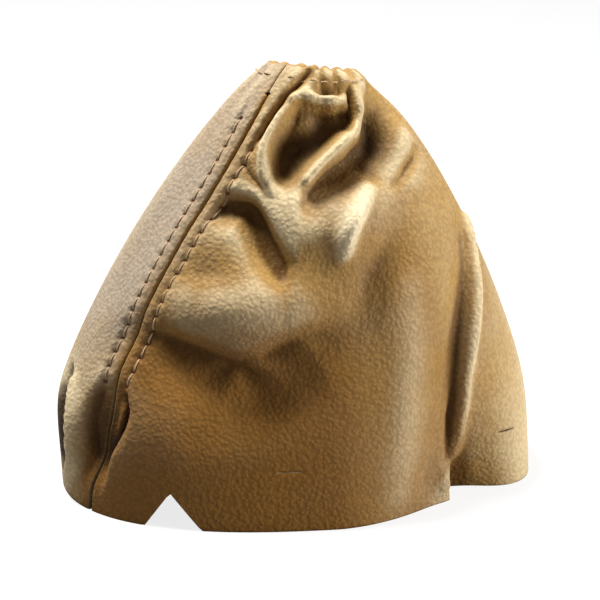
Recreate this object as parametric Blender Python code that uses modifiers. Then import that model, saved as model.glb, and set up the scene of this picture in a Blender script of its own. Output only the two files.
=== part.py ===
"""Handbrake gaiter: a sewn leather cover that stands on its cut lower edge.

One leather panel is wrapped into a cone and closed by one seam at the front left. Its allowances are
turned in and held by a row of topstitches on each side. The top edge is turned in over a narrow elastic,
which gathers it to a small collar. X runs along the long side of the foot, the front faces -Y.
"""

import math

import bmesh
import bpy
import numpy as np
from mathutils import Vector
from mathutils.bvhtree import BVHTree

MM = 0.001

# Outline of the cover
FOOT_LENGTH = 192.0 * MM
FOOT_WIDTH = 112.0 * MM
COLLAR_LENGTH = 33.0 * MM
COLLAR_WIDTH = 19.0 * MM
COVER_HEIGHT = 170.0 * MM
SKIRT_HEIGHT = 36.0 * MM
COLLAR_SHIFT = 7.6 * MM
COLLAR_TILT = 2.2 * MM
COLLAR_ROLL = 1.6 * MM
FOOT_SHIFT = 1.4 * MM
SKIRT_SWAY = 2.0 * MM
SKIRT_EASE = 0.08
FOOT_TURN = 5.0
FOOT_SQUARENESS = 0.35
DOME_START = 1.12
DOME_FULLNESS = 0.66
DOME_TOP_SHARE = 0.96
FRONT_FULLNESS = 0.88

# Leather, seam and hem
LEATHER = 1.0 * MM
FOLD_GAP = 0.6 * MM
SEAM_GAP = 0.5 * MM
ALLOWANCE = 8.0 * MM
ALLOWANCE_TRIM = 3.0 * MM
HEM_DEPTH = 5.5 * MM
ELASTIC = 0.8 * MM
ELASTIC_RISE = 3.4 * MM
ELASTIC_CLEARANCE = 0.75 * MM
SEAM_FOOT_ANGLE = 32.5
SEAM_SIDE_ANGLE = 41.0
SEAM_COLLAR_ANGLE = 57.0
SEAM_FOOT_SHARE = 0.21
SEAM_LEAN_SHARE = 0.5
SEAM_HOLD = 3.4 * MM
SEAM_EASE = 4.5 * MM
SEAM_CALM_SAMPLES = 16

# Threads
THREAD = 0.7 * MM
THREAD_GAP = 0.32 * MM
STITCH_LENGTH = 6.1 * MM
STITCH_FOOT = 55.0 * MM
STITCH_FROM_SEAM = 5.75 * MM
STITCH_RISE = 0.25 * MM
HEM_STITCH_LENGTH = 4.0 * MM

# Gathers
PLEATS = 16
PLEAT_HEIGHT = 0.7 * MM
PLEAT_REACH = 40.0 * MM
PLEAT_SWAY = 0.012
PLEAT_JITTER = 0.007
HEM_CALM = 0.85
HEM_CALM_REACH = 9.0 * MM

# Cuts in the lower edge
NOTCH_WIDTH = 23.0 * MM
NOTCH_HEIGHT = 15.5 * MM
NOTCH_ANGLE = 58.5
SLIT_WIDTH = 12.0 * MM
SLIT_OPENING = 0.8 * MM
SLIT_HEIGHT = 25.5 * MM
SLIT_ANGLES = (86.5, 146.0)
CUTTER_DEPTH = 12.0 * MM

# The tuck at the front right: the front of the skirt lies over the right side
TUCK_DRAW_IN = 15.0 * MM
TUCK_STEP = 9.0 * MM
TUCK_OVERLAP = 3.0 * MM
TUCK_REACH = 46.0 * MM
TUCK_EDGE = 2.6 * MM
TUCK_LINE = ((0.0, 124.5), (0.10, 124.5), (0.22, 126.5), (0.32, 130.5), (0.42, 136.5), (0.50, 140.5),
             (0.56, 141.0), (0.62, 139.0), (0.70, 133.0), (1.0, 133.0))
TUCK_TOP = 0.70

# Resolution of the panel
ROWS_SKIRT = 4
ROWS_DOME = 21
COLUMNS = 54
OUTLINE_SAMPLES = 720
PATH_SAMPLES = 40
FLOOR_TRIM = 4.0 * MM
SOFTNESS = 3.2
ANGLE_STEP = 1e-3
HEIGHT_STEP = 0.5 * MM
DENSE_SIDE = 0.28
DENSITY = 0.55
THREAD_TURN = 1
THREAD_START = 2.5 * MM

# Worked out from the sizes above
FOLD_RADIUS = 0.5 * (LEATHER + FOLD_GAP)
HEM_RADIUS = 0.5 * (LEATHER + ELASTIC) + ELASTIC_CLEARANCE
SEAM_EDGE = 0.5 * SEAM_GAP + FOLD_RADIUS + 0.5 * LEATHER
TURN_STEPS = (45.0, 90.0, 135.0)
SIDE_STEPS = np.array([0.0, 0.33, 0.66, 1.0])
HEM_STEPS = np.array([0.66, 0.33, 0.0])

# Each fold: name, rise out of the surface in mm (in is negative), width in mm on its left and right hand,
# how flat its crown is, lean in mm to its right hand, and its path as (angle, share of the height).
FOLDS = (
    ("crevice by the strip", -7.0, 2.0, 2.0, 2.0, 0.0,
     ((86, 0.990), (75, 0.972), (69, 0.954), (65, 0.928), (62, 0.900), (59, 0.872), (56, 0.850))),
    ("ridge by the seam", 6.5, 1.8, 3.0, 2.0, 1.0,
     ((84, 0.950), (78, 0.935), (75, 0.904), (73, 0.870), (72, 0.828), (72, 0.788))),
    ("collar ledge", 4.5, 2.2, 2.2, 2.0, 0.0, ((85, 0.950), (94, 0.949), (105, 0.947), (114, 0.945))),
    ("pocket at the collar", -8.0, 4.5, 2.0, 2.4, 0.0, ((96, 0.962), (106, 0.963), (115, 0.962))),
    ("dish", -12.5, 3.0, 11.5, 3.0, 0.0, ((110, 0.905), (100, 0.875), (90, 0.846), (84, 0.812))),
    ("crevice in the hook", -9.0, 1.7, 1.7, 2.0, 0.0,
     ((128, 0.985), (122, 0.955), (117, 0.928), (111, 0.897))),
    ("hook", 9.0, 2.8, 2.4, 2.2, -1.0,
     ((126, 0.951), (117, 0.917), (107, 0.874), (98, 0.835), (92, 0.806), (88, 0.780))),
    ("hollow under the hook", -10.5, 7.5, 4.2, 2.4, 0.0,
     ((154, 0.962), (138, 0.915), (123, 0.862), (111, 0.820), (103, 0.790), (97, 0.775))),
    ("shoulder", 5.0, 12.0, 14.0, 2.4, 0.0, ((80, 0.700), (94, 0.712), (112, 0.700))),
    ("shoulder strip", 7.0, 3.4, 4.6, 2.0, 0.0,
     ((115, 0.767), (109, 0.723), (105, 0.684), (103, 0.640))),
    ("hollow right of the strip", -1.8, 7.0, 6.0, 2.0, 0.0,
     ((131, 0.740), (121, 0.671), (113, 0.594), (108, 0.530))),
    ("side dimple", -3.0, 5.0, 5.0, 2.2, 0.0, ((161, 0.930), (154, 0.915))),
    ("side ridge", 2.8, 3.2, 3.2, 2.0, 0.0, ((158, 0.868), (143, 0.839), (128, 0.808))),
    ("side crease", -2.8, 2.4, 2.4, 2.0, 0.0, ((160, 0.825), (145, 0.802), (131, 0.770))),
    ("facet crease", -2.4, 1.5, 1.5, 2.0, 0.0, ((56, 0.824), (63, 0.797), (69, 0.776), (73, 0.755))),
    ("strip by the dish", 3.5, 3.0, 3.0, 2.0, 0.0, ((66, 0.850), (70, 0.812), (74, 0.776))),
    ("wedge", -10.0, 3.6, 8.0, 2.6, 0.0,
     ((55, 0.738), (65, 0.735), (71, 0.712), (77, 0.665), (82, 0.615))),
    ("upper belly hollow", -2.5, 6.0, 6.0, 2.0, 0.0, ((52, 0.582), (60, 0.582), (69, 0.576))),
    ("belly", 7.0, 13.0, 11.0, 2.6, 0.0, ((58, 0.525), (71, 0.530), (84, 0.530))),
    ("crease under the belly", -8.5, 6.0, 20.0, 2.2, 0.0,
     ((48, 0.440), (56, 0.422), (65, 0.404), (72, 0.386))),
    ("crease right of the belly", -6.5, 6.0, 18.0, 2.2, 0.0,
     ((72, 0.386), (79, 0.402), (85, 0.428), (90, 0.452))),
    ("hollow of the flank", -2.0, 10.0, 9.0, 2.0, 0.0, ((118, 0.659), (109, 0.553), (101, 0.447))),
    ("ridge of the flank", 3.0, 8.0, 9.0, 2.0, 0.0,
     ((122, 0.541), (119, 0.429), (115, 0.294), (112, 0.082))),
    ("ridge over the tuck", 5.0, 3.4, 5.0, 2.0, 0.0,
     ((161, 0.665), (152, 0.600), (146, 0.540), (142, 0.450), (136, 0.360), (130, 0.240), (126, 0.100))),
    ("valley beside the tuck", -4.5, 5.0, 8.0, 2.0, 0.0,
     ((146, 0.640), (137, 0.560), (131, 0.470), (126, 0.370), (121, 0.240), (118, 0.100))),
    ("sunk foot of the seam", -5.0, 5.0, 6.5, 3.0, 0.0,
     ((42, 0.345), (42, 0.260), (41, 0.190), (38, 0.130))),
    ("right pucker", -5.0, 1.9, 2.6, 2.0, 0.0,
     ((45.5, 0.320), (48, 0.270), (47.5, 0.215), (44, 0.165), (40, 0.120))),
    ("left pucker", -2.5, 2.4, 2.6, 2.0, 0.0, ((37, 0.330), (36.5, 0.250), (37, 0.180))),
    ("left end hollow", -9.0, 2.2, 4.4, 2.6, 0.0,
     ((13, 0.285), (17, 0.230), (18, 0.170), (16, 0.100), (14, 0.050))),
    ("left end ridge", 2.4, 2.8, 1.8, 2.0, 1.5,
     ((18, 0.295), (24, 0.240), (25, 0.170), (23, 0.110), (20, 0.050))),
    ("belly wave", -2.5, 9.0, 9.0, 2.0, 0.0, ((90, 0.330), (78, 0.280), (66, 0.230))),
    ("left panel hollow", -2.0, 10.0, 10.0, 2.0, 0.0, ((30, 0.860), (26, 0.700), (22, 0.520))),
    ("back hollow", -5.0, 14.0, 12.0, 2.0, 0.0, ((262, 0.900), (250, 0.740), (244, 0.560))),
    ("back ridge", 3.5, 8.0, 10.0, 2.0, 0.0, ((288, 0.930), (284, 0.780), (292, 0.560), (300, 0.330))),
    ("back side ridge", 3.0, 8.0, 8.0, 2.0, 0.0, ((222, 0.900), (216, 0.700), (206, 0.480))),
    ("back low wave", -3.0, 12.0, 12.0, 2.0, 0.0, ((236, 0.330), (262, 0.270), (288, 0.330))),
    ("rear end hollow", -2.5, 9.0, 9.0, 2.0, 0.0, ((326, 0.740), (330, 0.520), (338, 0.300))),
)


def rise_share(height):
    """Share of the way from the top of the skirt to the collar, for heights in metres."""
    rise = (height - SKIRT_HEIGHT) / (COVER_HEIGHT - SKIRT_HEIGHT)
    return np.clip((rise + np.hypot(rise, SKIRT_EASE)) / (1.0 + math.hypot(1.0, SKIRT_EASE)), 0.0, 1.0)


def smooth(value):
    """Smooth step from 0 to 1."""
    value = np.clip(value, 0.0, 1.0)
    return value * value * (3.0 - 2.0 * value)


def plain_form(angle, height):
    """Points of the cover without folds, for angles in radians from -X by way of the front."""
    share = rise_share(height)
    least = (1.0 - DOME_TOP_SHARE ** DOME_START) ** DOME_FULLNESS
    fullness = ((1.0 - (DOME_TOP_SHARE * share) ** DOME_START) ** DOME_FULLNESS - least) / (1.0 - least)
    fullness = np.clip(fullness, 0.0, 1.0)
    half_length = 0.5 * (COLLAR_LENGTH + (FOOT_LENGTH - COLLAR_LENGTH) * fullness)
    half_width = 0.5 * (COLLAR_WIDTH + (FOOT_WIDTH - COLLAR_WIDTH) * fullness ** FRONT_FULLNESS)
    power = 2.0 + FOOT_SQUARENESS * (1.0 - share)
    polar = np.arctan2(half_width * np.sin(angle), half_length * np.cos(angle))
    radius = (np.abs(np.cos(polar) / half_length) ** power
              + np.abs(np.sin(polar) / half_width) ** power) ** (-1.0 / power)
    along = -radius * np.cos(polar)
    across = -radius * np.sin(polar)
    turn = np.radians(FOOT_TURN) * (1.0 - share)
    sway = SKIRT_SWAY * (1.0 - share) * np.clip(height / SKIRT_HEIGHT, 0.0, 1.0)
    centre = FOOT_SHIFT - sway + (COLLAR_SHIFT - FOOT_SHIFT) * share
    x = centre + along * np.cos(turn) - across * np.sin(turn)
    y = along * np.sin(turn) + across * np.cos(turn)
    tilt = smooth((share - 0.7) / 0.3) * (COLLAR_TILT * np.sin(angle) + COLLAR_ROLL * np.cos(angle))
    return np.stack([x, y, height + tilt], axis=-1)


def unit(vectors):
    """Vectors scaled to length 1."""
    return vectors / np.maximum(np.linalg.norm(vectors, axis=-1, keepdims=True), 1e-12)


def plain_frame(angle, height):
    """Point, outward normal and millimetre-per-radian scale of the form without folds."""
    point = plain_form(angle, height)
    around = plain_form(angle + ANGLE_STEP, height) - plain_form(angle - ANGLE_STEP, height)
    below = np.minimum(height, COVER_HEIGHT - HEIGHT_STEP)
    upward = plain_form(angle, below + HEIGHT_STEP) - plain_form(angle, below)
    return point, unit(np.cross(around, upward)), np.linalg.norm(around, axis=-1) / (2 * ANGLE_STEP)


def smooth_path(points, count):
    """A smooth curve through a short list of points, as count points."""
    points = np.asarray(points, dtype=float)
    if len(points) == 2:
        share = np.linspace(0.0, 1.0, count)[:, None]
        return points[0] * (1.0 - share) + points[1] * share
    padded = np.vstack([2 * points[0] - points[1], points, 2 * points[-1] - points[-2]])
    place = np.linspace(0.0, len(points) - 1.0 - 1e-9, count)
    index = place.astype(int)
    t = (place - index)[:, None]
    a, b, c, d = (padded[index + k] for k in range(4))
    bend = (2 * a - 5 * b + 4 * c - d) * t ** 2 + (3 * b - a - 3 * c + d) * t ** 3
    return 0.5 * (2 * b + (c - a) * t + bend)


def fold_lines():
    """Each fold with its line on the plain form and the direction to the right hand of that line."""
    lines = []
    for name, rise, left, right, power, lean, path in FOLDS:
        route = smooth_path(path, PATH_SAMPLES)
        line, normal, _scale = plain_frame(np.radians(route[:, 0]), route[:, 1] * COVER_HEIGHT)
        softer = math.sqrt(min(left, right) / math.hypot(min(left, right), SOFTNESS))
        widths = (math.hypot(left, SOFTNESS), math.hypot(right, SOFTNESS))
        line_right = unit(np.cross(np.gradient(line, axis=0), normal))
        lines.append((name, rise * softer, *widths, power, lean * softer, line, line_right))
    return lines


def fold_shift(point, normal, fold):
    """How far one fold moves each point."""
    _name, rise, left, right, power, lean, line, line_right = fold
    offset = point[..., None, :] - line
    distance = np.linalg.norm(offset, axis=-1)
    nearest = distance.argmin(axis=-1)
    near_distance = np.take_along_axis(distance, nearest[..., None], -1)[..., 0]
    right_hand = line_right[nearest]
    near_offset = np.take_along_axis(offset, nearest[..., None, None], -2)[..., 0, :]
    side = (near_offset * right_hand).sum(-1) / np.maximum(near_distance, 1e-9)
    blend = smooth(0.5 + 0.8 * side)
    width = (left * (1.0 - blend) + right * blend) * MM
    share = np.exp(-(near_distance / width) ** power)
    taper = 0.55 + 0.45 * np.sin(np.pi * nearest / (PATH_SAMPLES - 1.0))
    amount = (share * taper)[..., None] * MM
    return amount * (rise * normal + lean * right_hand)


def tuck_shift(angle, height, around_scale):
    """Shift by the tuck: the sides of its line are drawn in along Y by unlike amounts."""
    line_share, line_angle = zip(*TUCK_LINE)
    share = height / COVER_HEIGHT
    line = np.radians(np.interp(share, line_share, line_angle))
    from_line = (angle - line) * around_scale
    left = np.clip(1.0 + from_line / TUCK_REACH, 0.0, 1.0) ** 1.6
    right = smooth(1.0 - from_line / TUCK_REACH)
    step = smooth(0.5 + 0.5 * from_line / TUCK_EDGE)
    fade = np.clip(1.0 - share / TUCK_TOP, 0.0, 1.0)
    draw = TUCK_DRAW_IN * fade ** 1.3 * ((1.0 - step) * left + step * right)
    draw = draw + TUCK_STEP * fade ** 0.6 * step * right
    near = np.exp(-(from_line / (2.2 * TUCK_EDGE)) ** 2)
    slide = TUCK_OVERLAP * fade ** 0.6 * near * np.where(from_line < 0.0, 1.0, -1.0)
    slide = slide * smooth(np.abs(from_line) / TUCK_EDGE)
    return np.stack([slide, draw, 0.0 * draw], axis=-1)


def pleat_rise(height, share_round):
    """Rise of the gathers under the collar, from the share of the way round."""
    reach = smooth((height - (COVER_HEIGHT - PLEAT_REACH)) / PLEAT_REACH)
    uneven = PLEAT_SWAY * np.sin(4 * np.pi * share_round) + PLEAT_JITTER * np.sin(10 * np.pi * share_round)
    phase = share_round + uneven
    return PLEAT_HEIGHT * reach * np.cos(2 * np.pi * PLEATS * phase)


def whole_shift(point, normal, angle, height, around_scale):
    """Shift by the tuck and all folds together."""
    shift = tuck_shift(angle, height, around_scale)
    for fold in FOLD_LINES:
        shift = shift + fold_shift(point, normal, fold)
    return shift


def seam_angle(height):
    """Angle of the seam at a height: it leans over from the foot to the collar."""
    share = height / COVER_HEIGHT
    low = smooth(share / SEAM_FOOT_SHARE)
    high = np.clip((share - SEAM_LEAN_SHARE) / (1.0 - SEAM_LEAN_SHARE), 0.0, 1.0) ** 2
    return np.radians(SEAM_FOOT_ANGLE + (SEAM_SIDE_ANGLE - SEAM_FOOT_ANGLE) * low
                      + (SEAM_COLLAR_ANGLE - SEAM_SIDE_ANGLE) * high)


def calmed(values, reach):
    """Mean over a span of neighbouring rows, twice."""
    span = np.full(2 * reach + 1, 1.0 / (2 * reach + 1))
    for _pass in range(2):
        first = np.repeat(values[:1], reach, 0)
        last = np.repeat(values[-1:], reach, 0)
        padded = np.concatenate([first, values, last])
        values = np.stack([np.convolve(part, span, "valid") for part in padded.T], axis=-1)
    return values


def seam_shifts():
    """Shift of the seam itself by height, calmed along it because the stitched strip is stiff."""
    point, normal, around_scale = plain_frame(seam_angle(SEAM_LEVELS), SEAM_LEVELS)
    shift = whole_shift(point, normal, seam_angle(SEAM_LEVELS), SEAM_LEVELS, around_scale)
    return calmed(shift, SEAM_CALM_SAMPLES)


FOLD_LINES = fold_lines()
SEAM_LEVELS = np.linspace(0.0, COVER_HEIGHT, OUTLINE_SAMPLES)
SEAM_SHIFTS = seam_shifts()


def cover_surface(angle, height, share_round):
    """Middle of the leather with every fold, and its outward normal."""
    point, normal, around_scale = plain_frame(angle, height)
    shift = whole_shift(point, normal, angle, height, around_scale)
    turned = (angle - seam_angle(height) + np.pi) % (2 * np.pi) - np.pi
    free = smooth((np.abs(turned) * around_scale - SEAM_HOLD) / SEAM_EASE)[..., None]
    held = np.stack([np.interp(height, SEAM_LEVELS, part) for part in SEAM_SHIFTS.T], axis=-1)
    shift = shift * free + held * (1.0 - free)
    hem_start = COVER_HEIGHT - HEM_DEPTH
    calm = 1.0 - HEM_CALM * smooth((height - hem_start + HEM_CALM_REACH) / HEM_CALM_REACH)
    pleat = pleat_rise(height, share_round)[..., None] * free
    return point + calm[..., None] * shift + pleat * normal, normal


def outline_lengths(height):
    """Angles round one row of the plain form, from the seam, and the length round it to each."""
    angles = float(seam_angle(height)) + np.linspace(0.0, 2 * np.pi, OUTLINE_SAMPLES + 1)
    outline = plain_form(angles, np.full_like(angles, height))
    lengths = np.cumsum(np.linalg.norm(np.diff(outline, axis=0), axis=1))
    return angles, np.concatenate([[0.0], lengths])


def points_from_seam(height, places):
    """Folded points and plain normals of one row, at lengths from the seam; negative runs left."""
    angles, lengths = outline_lengths(height)
    places = np.where(places < 0.0, places + lengths[-1], places)
    angle = np.interp(places, lengths, angles)
    return cover_surface(angle, np.full_like(angle, height), places / lengths[-1])


def row_heights():
    """Heights of the rows from below the floor to the collar, closer together towards the collar."""
    skirt = np.linspace(-FLOOR_TRIM, SKIRT_HEIGHT, ROWS_SKIRT, endpoint=False)
    share = np.linspace(0.0, 1.0, ROWS_DOME)
    dome = SKIRT_HEIGHT + (COVER_HEIGHT - HEM_DEPTH - SKIRT_HEIGHT) * (1.25 * share - 0.25 * share ** 2.6)
    return np.concatenate([skirt, dome, COVER_HEIGHT - HEM_DEPTH * HEM_STEPS])


def row_points(height, hemmed):
    """Points and plain normals of one row, with its columns closer together on the folded front."""
    whole = outline_lengths(height)[1][-1]
    side = SEAM_EDGE + (ALLOWANCE - SEAM_EDGE) * SIDE_STEPS
    if hemmed:
        side = np.concatenate([[0.5 * SEAM_GAP], side[1:]])
    share = np.linspace(0.0, 1.0, COLUMNS + 2)
    share = share - DENSITY / (2 * np.pi) * np.sin(2 * np.pi * (share - DENSE_SIDE))
    share = ((share - share[0]) / (share[-1] - share[0]))[1:-1]
    between = side[-1] + share * (whole - 2 * side[-1])
    return points_from_seam(height, np.concatenate([side, between, (whole - side)[::-1]]))


def outer_layer():
    """Row heights, points on the middle of the outer leather, and its folded and plain normals."""
    heights = row_heights()
    hemmed = heights >= COVER_HEIGHT - HEM_DEPTH - ALLOWANCE_TRIM
    rows = [row_points(height, low) for height, low in zip(heights, hemmed)]
    grid = np.array([points for points, _normals in rows])
    folded = unit(np.cross(np.gradient(grid, axis=1), np.gradient(grid, axis=0)))
    return heights, grid, folded, np.array([normals for _points, normals in rows])


def turned_allowance(points, normals):
    """Columns of one allowance: round the folded edge, then flat behind the outer leather."""
    outward = unit(points[:, 0] - points[:, 1])
    columns = []
    for degrees in TURN_STEPS:
        reach = FOLD_RADIUS * math.sin(math.radians(degrees))
        drop = FOLD_RADIUS * (1.0 - math.cos(math.radians(degrees)))
        columns.append(points[:, 0] + outward * reach - normals[:, 0] * drop)
    for index in range(len(SIDE_STEPS)):
        columns.append(points[:, index] - normals[:, index] * 2 * FOLD_RADIUS)
    return np.stack(columns, axis=1)


def hem_rows(grid, directions):
    """Rows of the hem: over the top edge and down inside it."""
    rim = grid[-1]
    inward = -directions[-1]
    upward = unit(grid[-1] - grid[-2])
    rows = []
    for degrees in TURN_STEPS:
        reach = HEM_RADIUS * math.sin(math.radians(degrees))
        drop = HEM_RADIUS * (1.0 - math.cos(math.radians(degrees)))
        rows.append(rim + upward * reach + inward * drop)
    for index in range(len(HEM_STEPS) + 1):
        rows.append(grid[-1 - index] - directions[-1 - index] * 2 * HEM_RADIUS)
    return np.array(rows)


def make_material(name, colour, roughness, metallic=0.0):
    """A Principled material with a plain colour."""
    material = bpy.data.materials.new(name)
    material.use_nodes = True
    shader = material.node_tree.nodes["Principled BSDF"]
    shader.inputs["Base Color"].default_value = (*colour, 1.0)
    shader.inputs["Roughness"].default_value = roughness
    shader.inputs["Metallic"].default_value = metallic
    return material


def grid_object(name, points, kept, collection, material):
    """A grid moved onto rows and columns of points, without the faces that are not kept."""
    rows, columns = points.shape[:2]
    mesh = bpy.data.meshes.new(name)
    work = bmesh.new()
    bmesh.ops.create_grid(work, x_segments=columns - 1, y_segments=rows - 1, size=1.0)
    for vertex in work.verts:
        column = round((vertex.co.x + 1.0) / 2.0 * (columns - 1))
        row = round((vertex.co.y + 1.0) / 2.0 * (rows - 1))
        vertex.tag = bool(kept[row, column])
        vertex.co = Vector(points[row, column])
    bmesh.ops.delete(work, geom=[vertex for vertex in work.verts if not vertex.tag], context="VERTS")
    work.to_mesh(mesh)
    work.free()
    mesh.shade_smooth()
    thing = bpy.data.objects.new(name, mesh)
    collection.objects.link(thing)
    mesh.materials.append(material)
    return thing


def add_wall(thing, thickness):
    """Gives an open surface its wall, half to each side."""
    wall = thing.modifiers.new("wall", "SOLIDIFY")
    wall.thickness = thickness
    wall.offset = 0.0


def cut_with(thing, cutter, name):
    """Cuts one object with another."""
    cut = thing.modifiers.new(name, "BOOLEAN")
    cut.operation = "DIFFERENCE"
    cut.solver = "EXACT"
    cut.object = cutter


def finish_cutter(cutter, name, collection):
    """Names a cutter and keeps it out of the finished part."""
    cutter.name = name
    cutter.hide_render = True
    cutter.display_type = "WIRE"
    for owner in list(cutter.users_collection):
        owner.objects.unlink(cutter)
    collection.objects.link(cutter)
    return cutter


def surface_frame(angle, height):
    """A place on the folded leather as its point, outward and sideways directions."""
    angles = np.array([angle - ANGLE_STEP, angle, angle + ANGLE_STEP])
    points, _normals = cover_surface(angles, np.full(3, height), np.zeros(3))
    sideways = Vector(points[2] - points[0])
    sideways.z = 0.0
    sideways.normalize()
    outward = sideways.cross(Vector((0.0, 0.0, 1.0)))
    return Vector(points[1]), outward, sideways


def floor_cutter(collection):
    """A box below the floor that trims the lower edge level."""
    bpy.ops.mesh.primitive_cube_add(size=1.0, location=(0.0, 0.0, -5 * FLOOR_TRIM))
    cutter = bpy.context.object
    cutter.scale = (2 * FOOT_LENGTH, 2 * FOOT_LENGTH, 10 * FLOOR_TRIM)
    return finish_cutter(cutter, "cutter_floor", collection)


def notch_cutter(collection):
    """A three-sided prism for the notch in the lower edge."""
    point, outward, sideways = surface_frame(math.radians(NOTCH_ANGLE), 0.3 * NOTCH_HEIGHT)
    mesh = bpy.data.meshes.new("cutter_notch")
    work = bmesh.new()
    bmesh.ops.create_cone(work, cap_ends=True, segments=3, radius1=1.0, radius2=1.0, depth=1.0)
    tip = Vector((0.0, 0.0, 1.0))
    lowest = 0.6
    for vertex in work.verts:
        top = vertex.co.y > 0.9
        reach = math.copysign(1.0, vertex.co.z) * CUTTER_DEPTH
        spread = 0.0 if top else math.copysign(0.5 * (1.0 + lowest), vertex.co.x) * NOTCH_WIDTH
        level = NOTCH_HEIGHT if top else -lowest * NOTCH_HEIGHT
        place = point + outward * reach + sideways * spread
        vertex.co = Vector((place.x, place.y, 0.0)) + tip * level
    work.to_mesh(mesh)
    work.free()
    cutter = bpy.data.objects.new("cutter_notch", mesh)
    collection.objects.link(cutter)
    return finish_cutter(cutter, "cutter_notch", collection)


def slit_cutter(collection, angle, number):
    """A thin box for one level slit."""
    point, _outward, sideways = surface_frame(math.radians(angle), SLIT_HEIGHT)
    bpy.ops.mesh.primitive_cube_add(size=1.0, location=point)
    cutter = bpy.context.object
    cutter.scale = (SLIT_WIDTH, CUTTER_DEPTH, SLIT_OPENING)
    cutter.rotation_euler = (0.0, 0.0, math.atan2(sideways.y, sideways.x))
    return finish_cutter(cutter, f"cutter_slit_{number}", collection)


def build_leather(collection, cutters):
    """The leather panel with its seam allowances, hem, notch and slits."""
    heights, outer, folded, plain_normals = outer_layer()
    grid = np.concatenate([outer, hem_rows(outer, plain_normals)], axis=0)
    first = turned_allowance(outer, folded)[:, ::-1]
    last = turned_allowance(outer[:, ::-1], folded[:, ::-1])
    side = first.shape[1]
    rows, columns = grid.shape[:2]
    points = np.zeros((rows, columns + 2 * side, 3))
    points[:, side:side + columns] = grid
    points[:len(heights), :side] = first
    points[:len(heights), side + columns:] = last
    kept = np.zeros(points.shape[:2], dtype=bool)
    kept[:, side:side + columns] = True
    allowance_rows = np.nonzero(heights < COVER_HEIGHT - HEM_DEPTH - ALLOWANCE_TRIM)[0]
    kept[allowance_rows] = True
    material = make_material("leather", (0.50, 0.34, 0.17), 0.5)
    leather = grid_object("leather_panel", points, kept, collection, material)
    add_wall(leather, LEATHER)
    cut_with(leather, floor_cutter(cutters), "level lower edge")
    cut_with(leather, notch_cutter(cutters), "notch")
    for number, angle in enumerate(SLIT_ANGLES, start=1):
        cut_with(leather, slit_cutter(cutters, angle, number), f"slit {number}")
    return leather


def build_elastic(collection):
    """The elastic band that lies inside the hem and gathers the collar."""
    heights, outer, _folded, plain_normals = outer_layer()
    middle = outer - plain_normals * HEM_RADIUS
    height = COVER_HEIGHT - 0.45 * HEM_DEPTH
    rows = []
    for wanted in height + 0.5 * ELASTIC_RISE * np.array([-1.0, 0.0, 1.0]):
        above = int(np.searchsorted(heights, wanted))
        share = (wanted - heights[above - 1]) / (heights[above] - heights[above - 1])
        row = middle[above - 1] * (1.0 - share) + middle[above] * share
        rows.append(np.concatenate([row, row[:1]]))
    points = np.array(rows)
    material = make_material("elastic", (0.75, 0.72, 0.66), 0.8)
    whole = np.ones(points.shape[:2], dtype=bool)
    band = grid_object("elastic_band", points, whole, collection, material)
    weld = band.modifiers.new("closed ring", "WELD")
    weld.merge_threshold = 0.01 * MM
    add_wall(band, ELASTIC)
    return band


def leather_tree(leather):
    """Search tree over the finished faces of the leather."""
    bpy.context.view_layer.update()
    evaluated = leather.evaluated_get(bpy.context.evaluated_depsgraph_get())
    mesh = evaluated.to_mesh()
    corners = [vertex.co.copy() for vertex in mesh.vertices]
    tree = BVHTree.FromPolygons(corners, [face.vertices[:] for face in mesh.polygons])
    evaluated.to_mesh_clear()
    return tree


def laid_on(tree, start, clearance):
    """The place beside the leather, at a clearance from it, that lies nearest to a start off its face."""
    place = Vector(start)
    near, _normal, _index, _distance = tree.find_nearest(place)
    place = near + (place - near).normalized() * clearance
    for _turn in range(4):
        near, _normal, _index, distance = tree.find_nearest(place)
        if distance < clearance:
            place = near + (place - near).normalized() * clearance * 1.01
    return place


def thread_object(name, places, collection, material):
    """A thread as a round curve through its places."""
    curve = bpy.data.curves.new(name, "CURVE")
    curve.dimensions = "3D"
    curve.bevel_depth = 0.5 * THREAD
    curve.bevel_resolution = THREAD_TURN
    curve.use_fill_caps = True
    spline = curve.splines.new("POLY")
    spline.points.add(len(places) - 1)
    for point, place in zip(spline.points, places):
        point.co = (*place, 1.0)
    curve.materials.append(material)
    thing = bpy.data.objects.new(name, curve)
    collection.objects.link(thing)
    return thing


def seam_stations(lowest, highest, step):
    """Heights at even lengths along the seam."""
    heights = np.linspace(lowest, highest, OUTLINE_SAMPLES)
    line = plain_form(seam_angle(heights), heights)
    lengths = np.concatenate([[0.0], np.cumsum(np.linalg.norm(np.diff(line, axis=0), axis=1))])
    count = int(lengths[-1] // step)
    return np.interp(np.arange(count + 1) * step, lengths, heights)


def seam_thread_places(tree, from_seam, offset):
    """Places of a thread beside the seam, laid on the leather from an offset out of its middle."""
    top = COVER_HEIGHT - HEM_DEPTH - ALLOWANCE_TRIM - STITCH_LENGTH
    places = []
    for number, height in enumerate(seam_stations(STITCH_FOOT, top, 0.5 * STITCH_LENGTH)):
        row, normals = points_from_seam(height, np.array([from_seam]))
        start = row[0] + normals[0] * offset
        rise = STITCH_RISE if number % 2 else 0.0
        places.append(laid_on(tree, start, 0.5 * THREAD + THREAD_GAP + rise))
    return places


def build_seam_threads(collection, tree, material, under):
    """Topstitching on both sides of the seam, each with a thread on the face and one behind."""
    for side, from_seam in (("right", STITCH_FROM_SEAM), ("left", -STITCH_FROM_SEAM)):
        face = seam_thread_places(tree, from_seam, THREAD_START)
        thread_object(f"topstitch_needle_thread_{side}", face, collection, material)
        behind = seam_thread_places(tree, from_seam, -2 * FOLD_RADIUS - THREAD_START)
        thread_object(f"topstitch_bobbin_thread_{side}", behind, collection, under)


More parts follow.
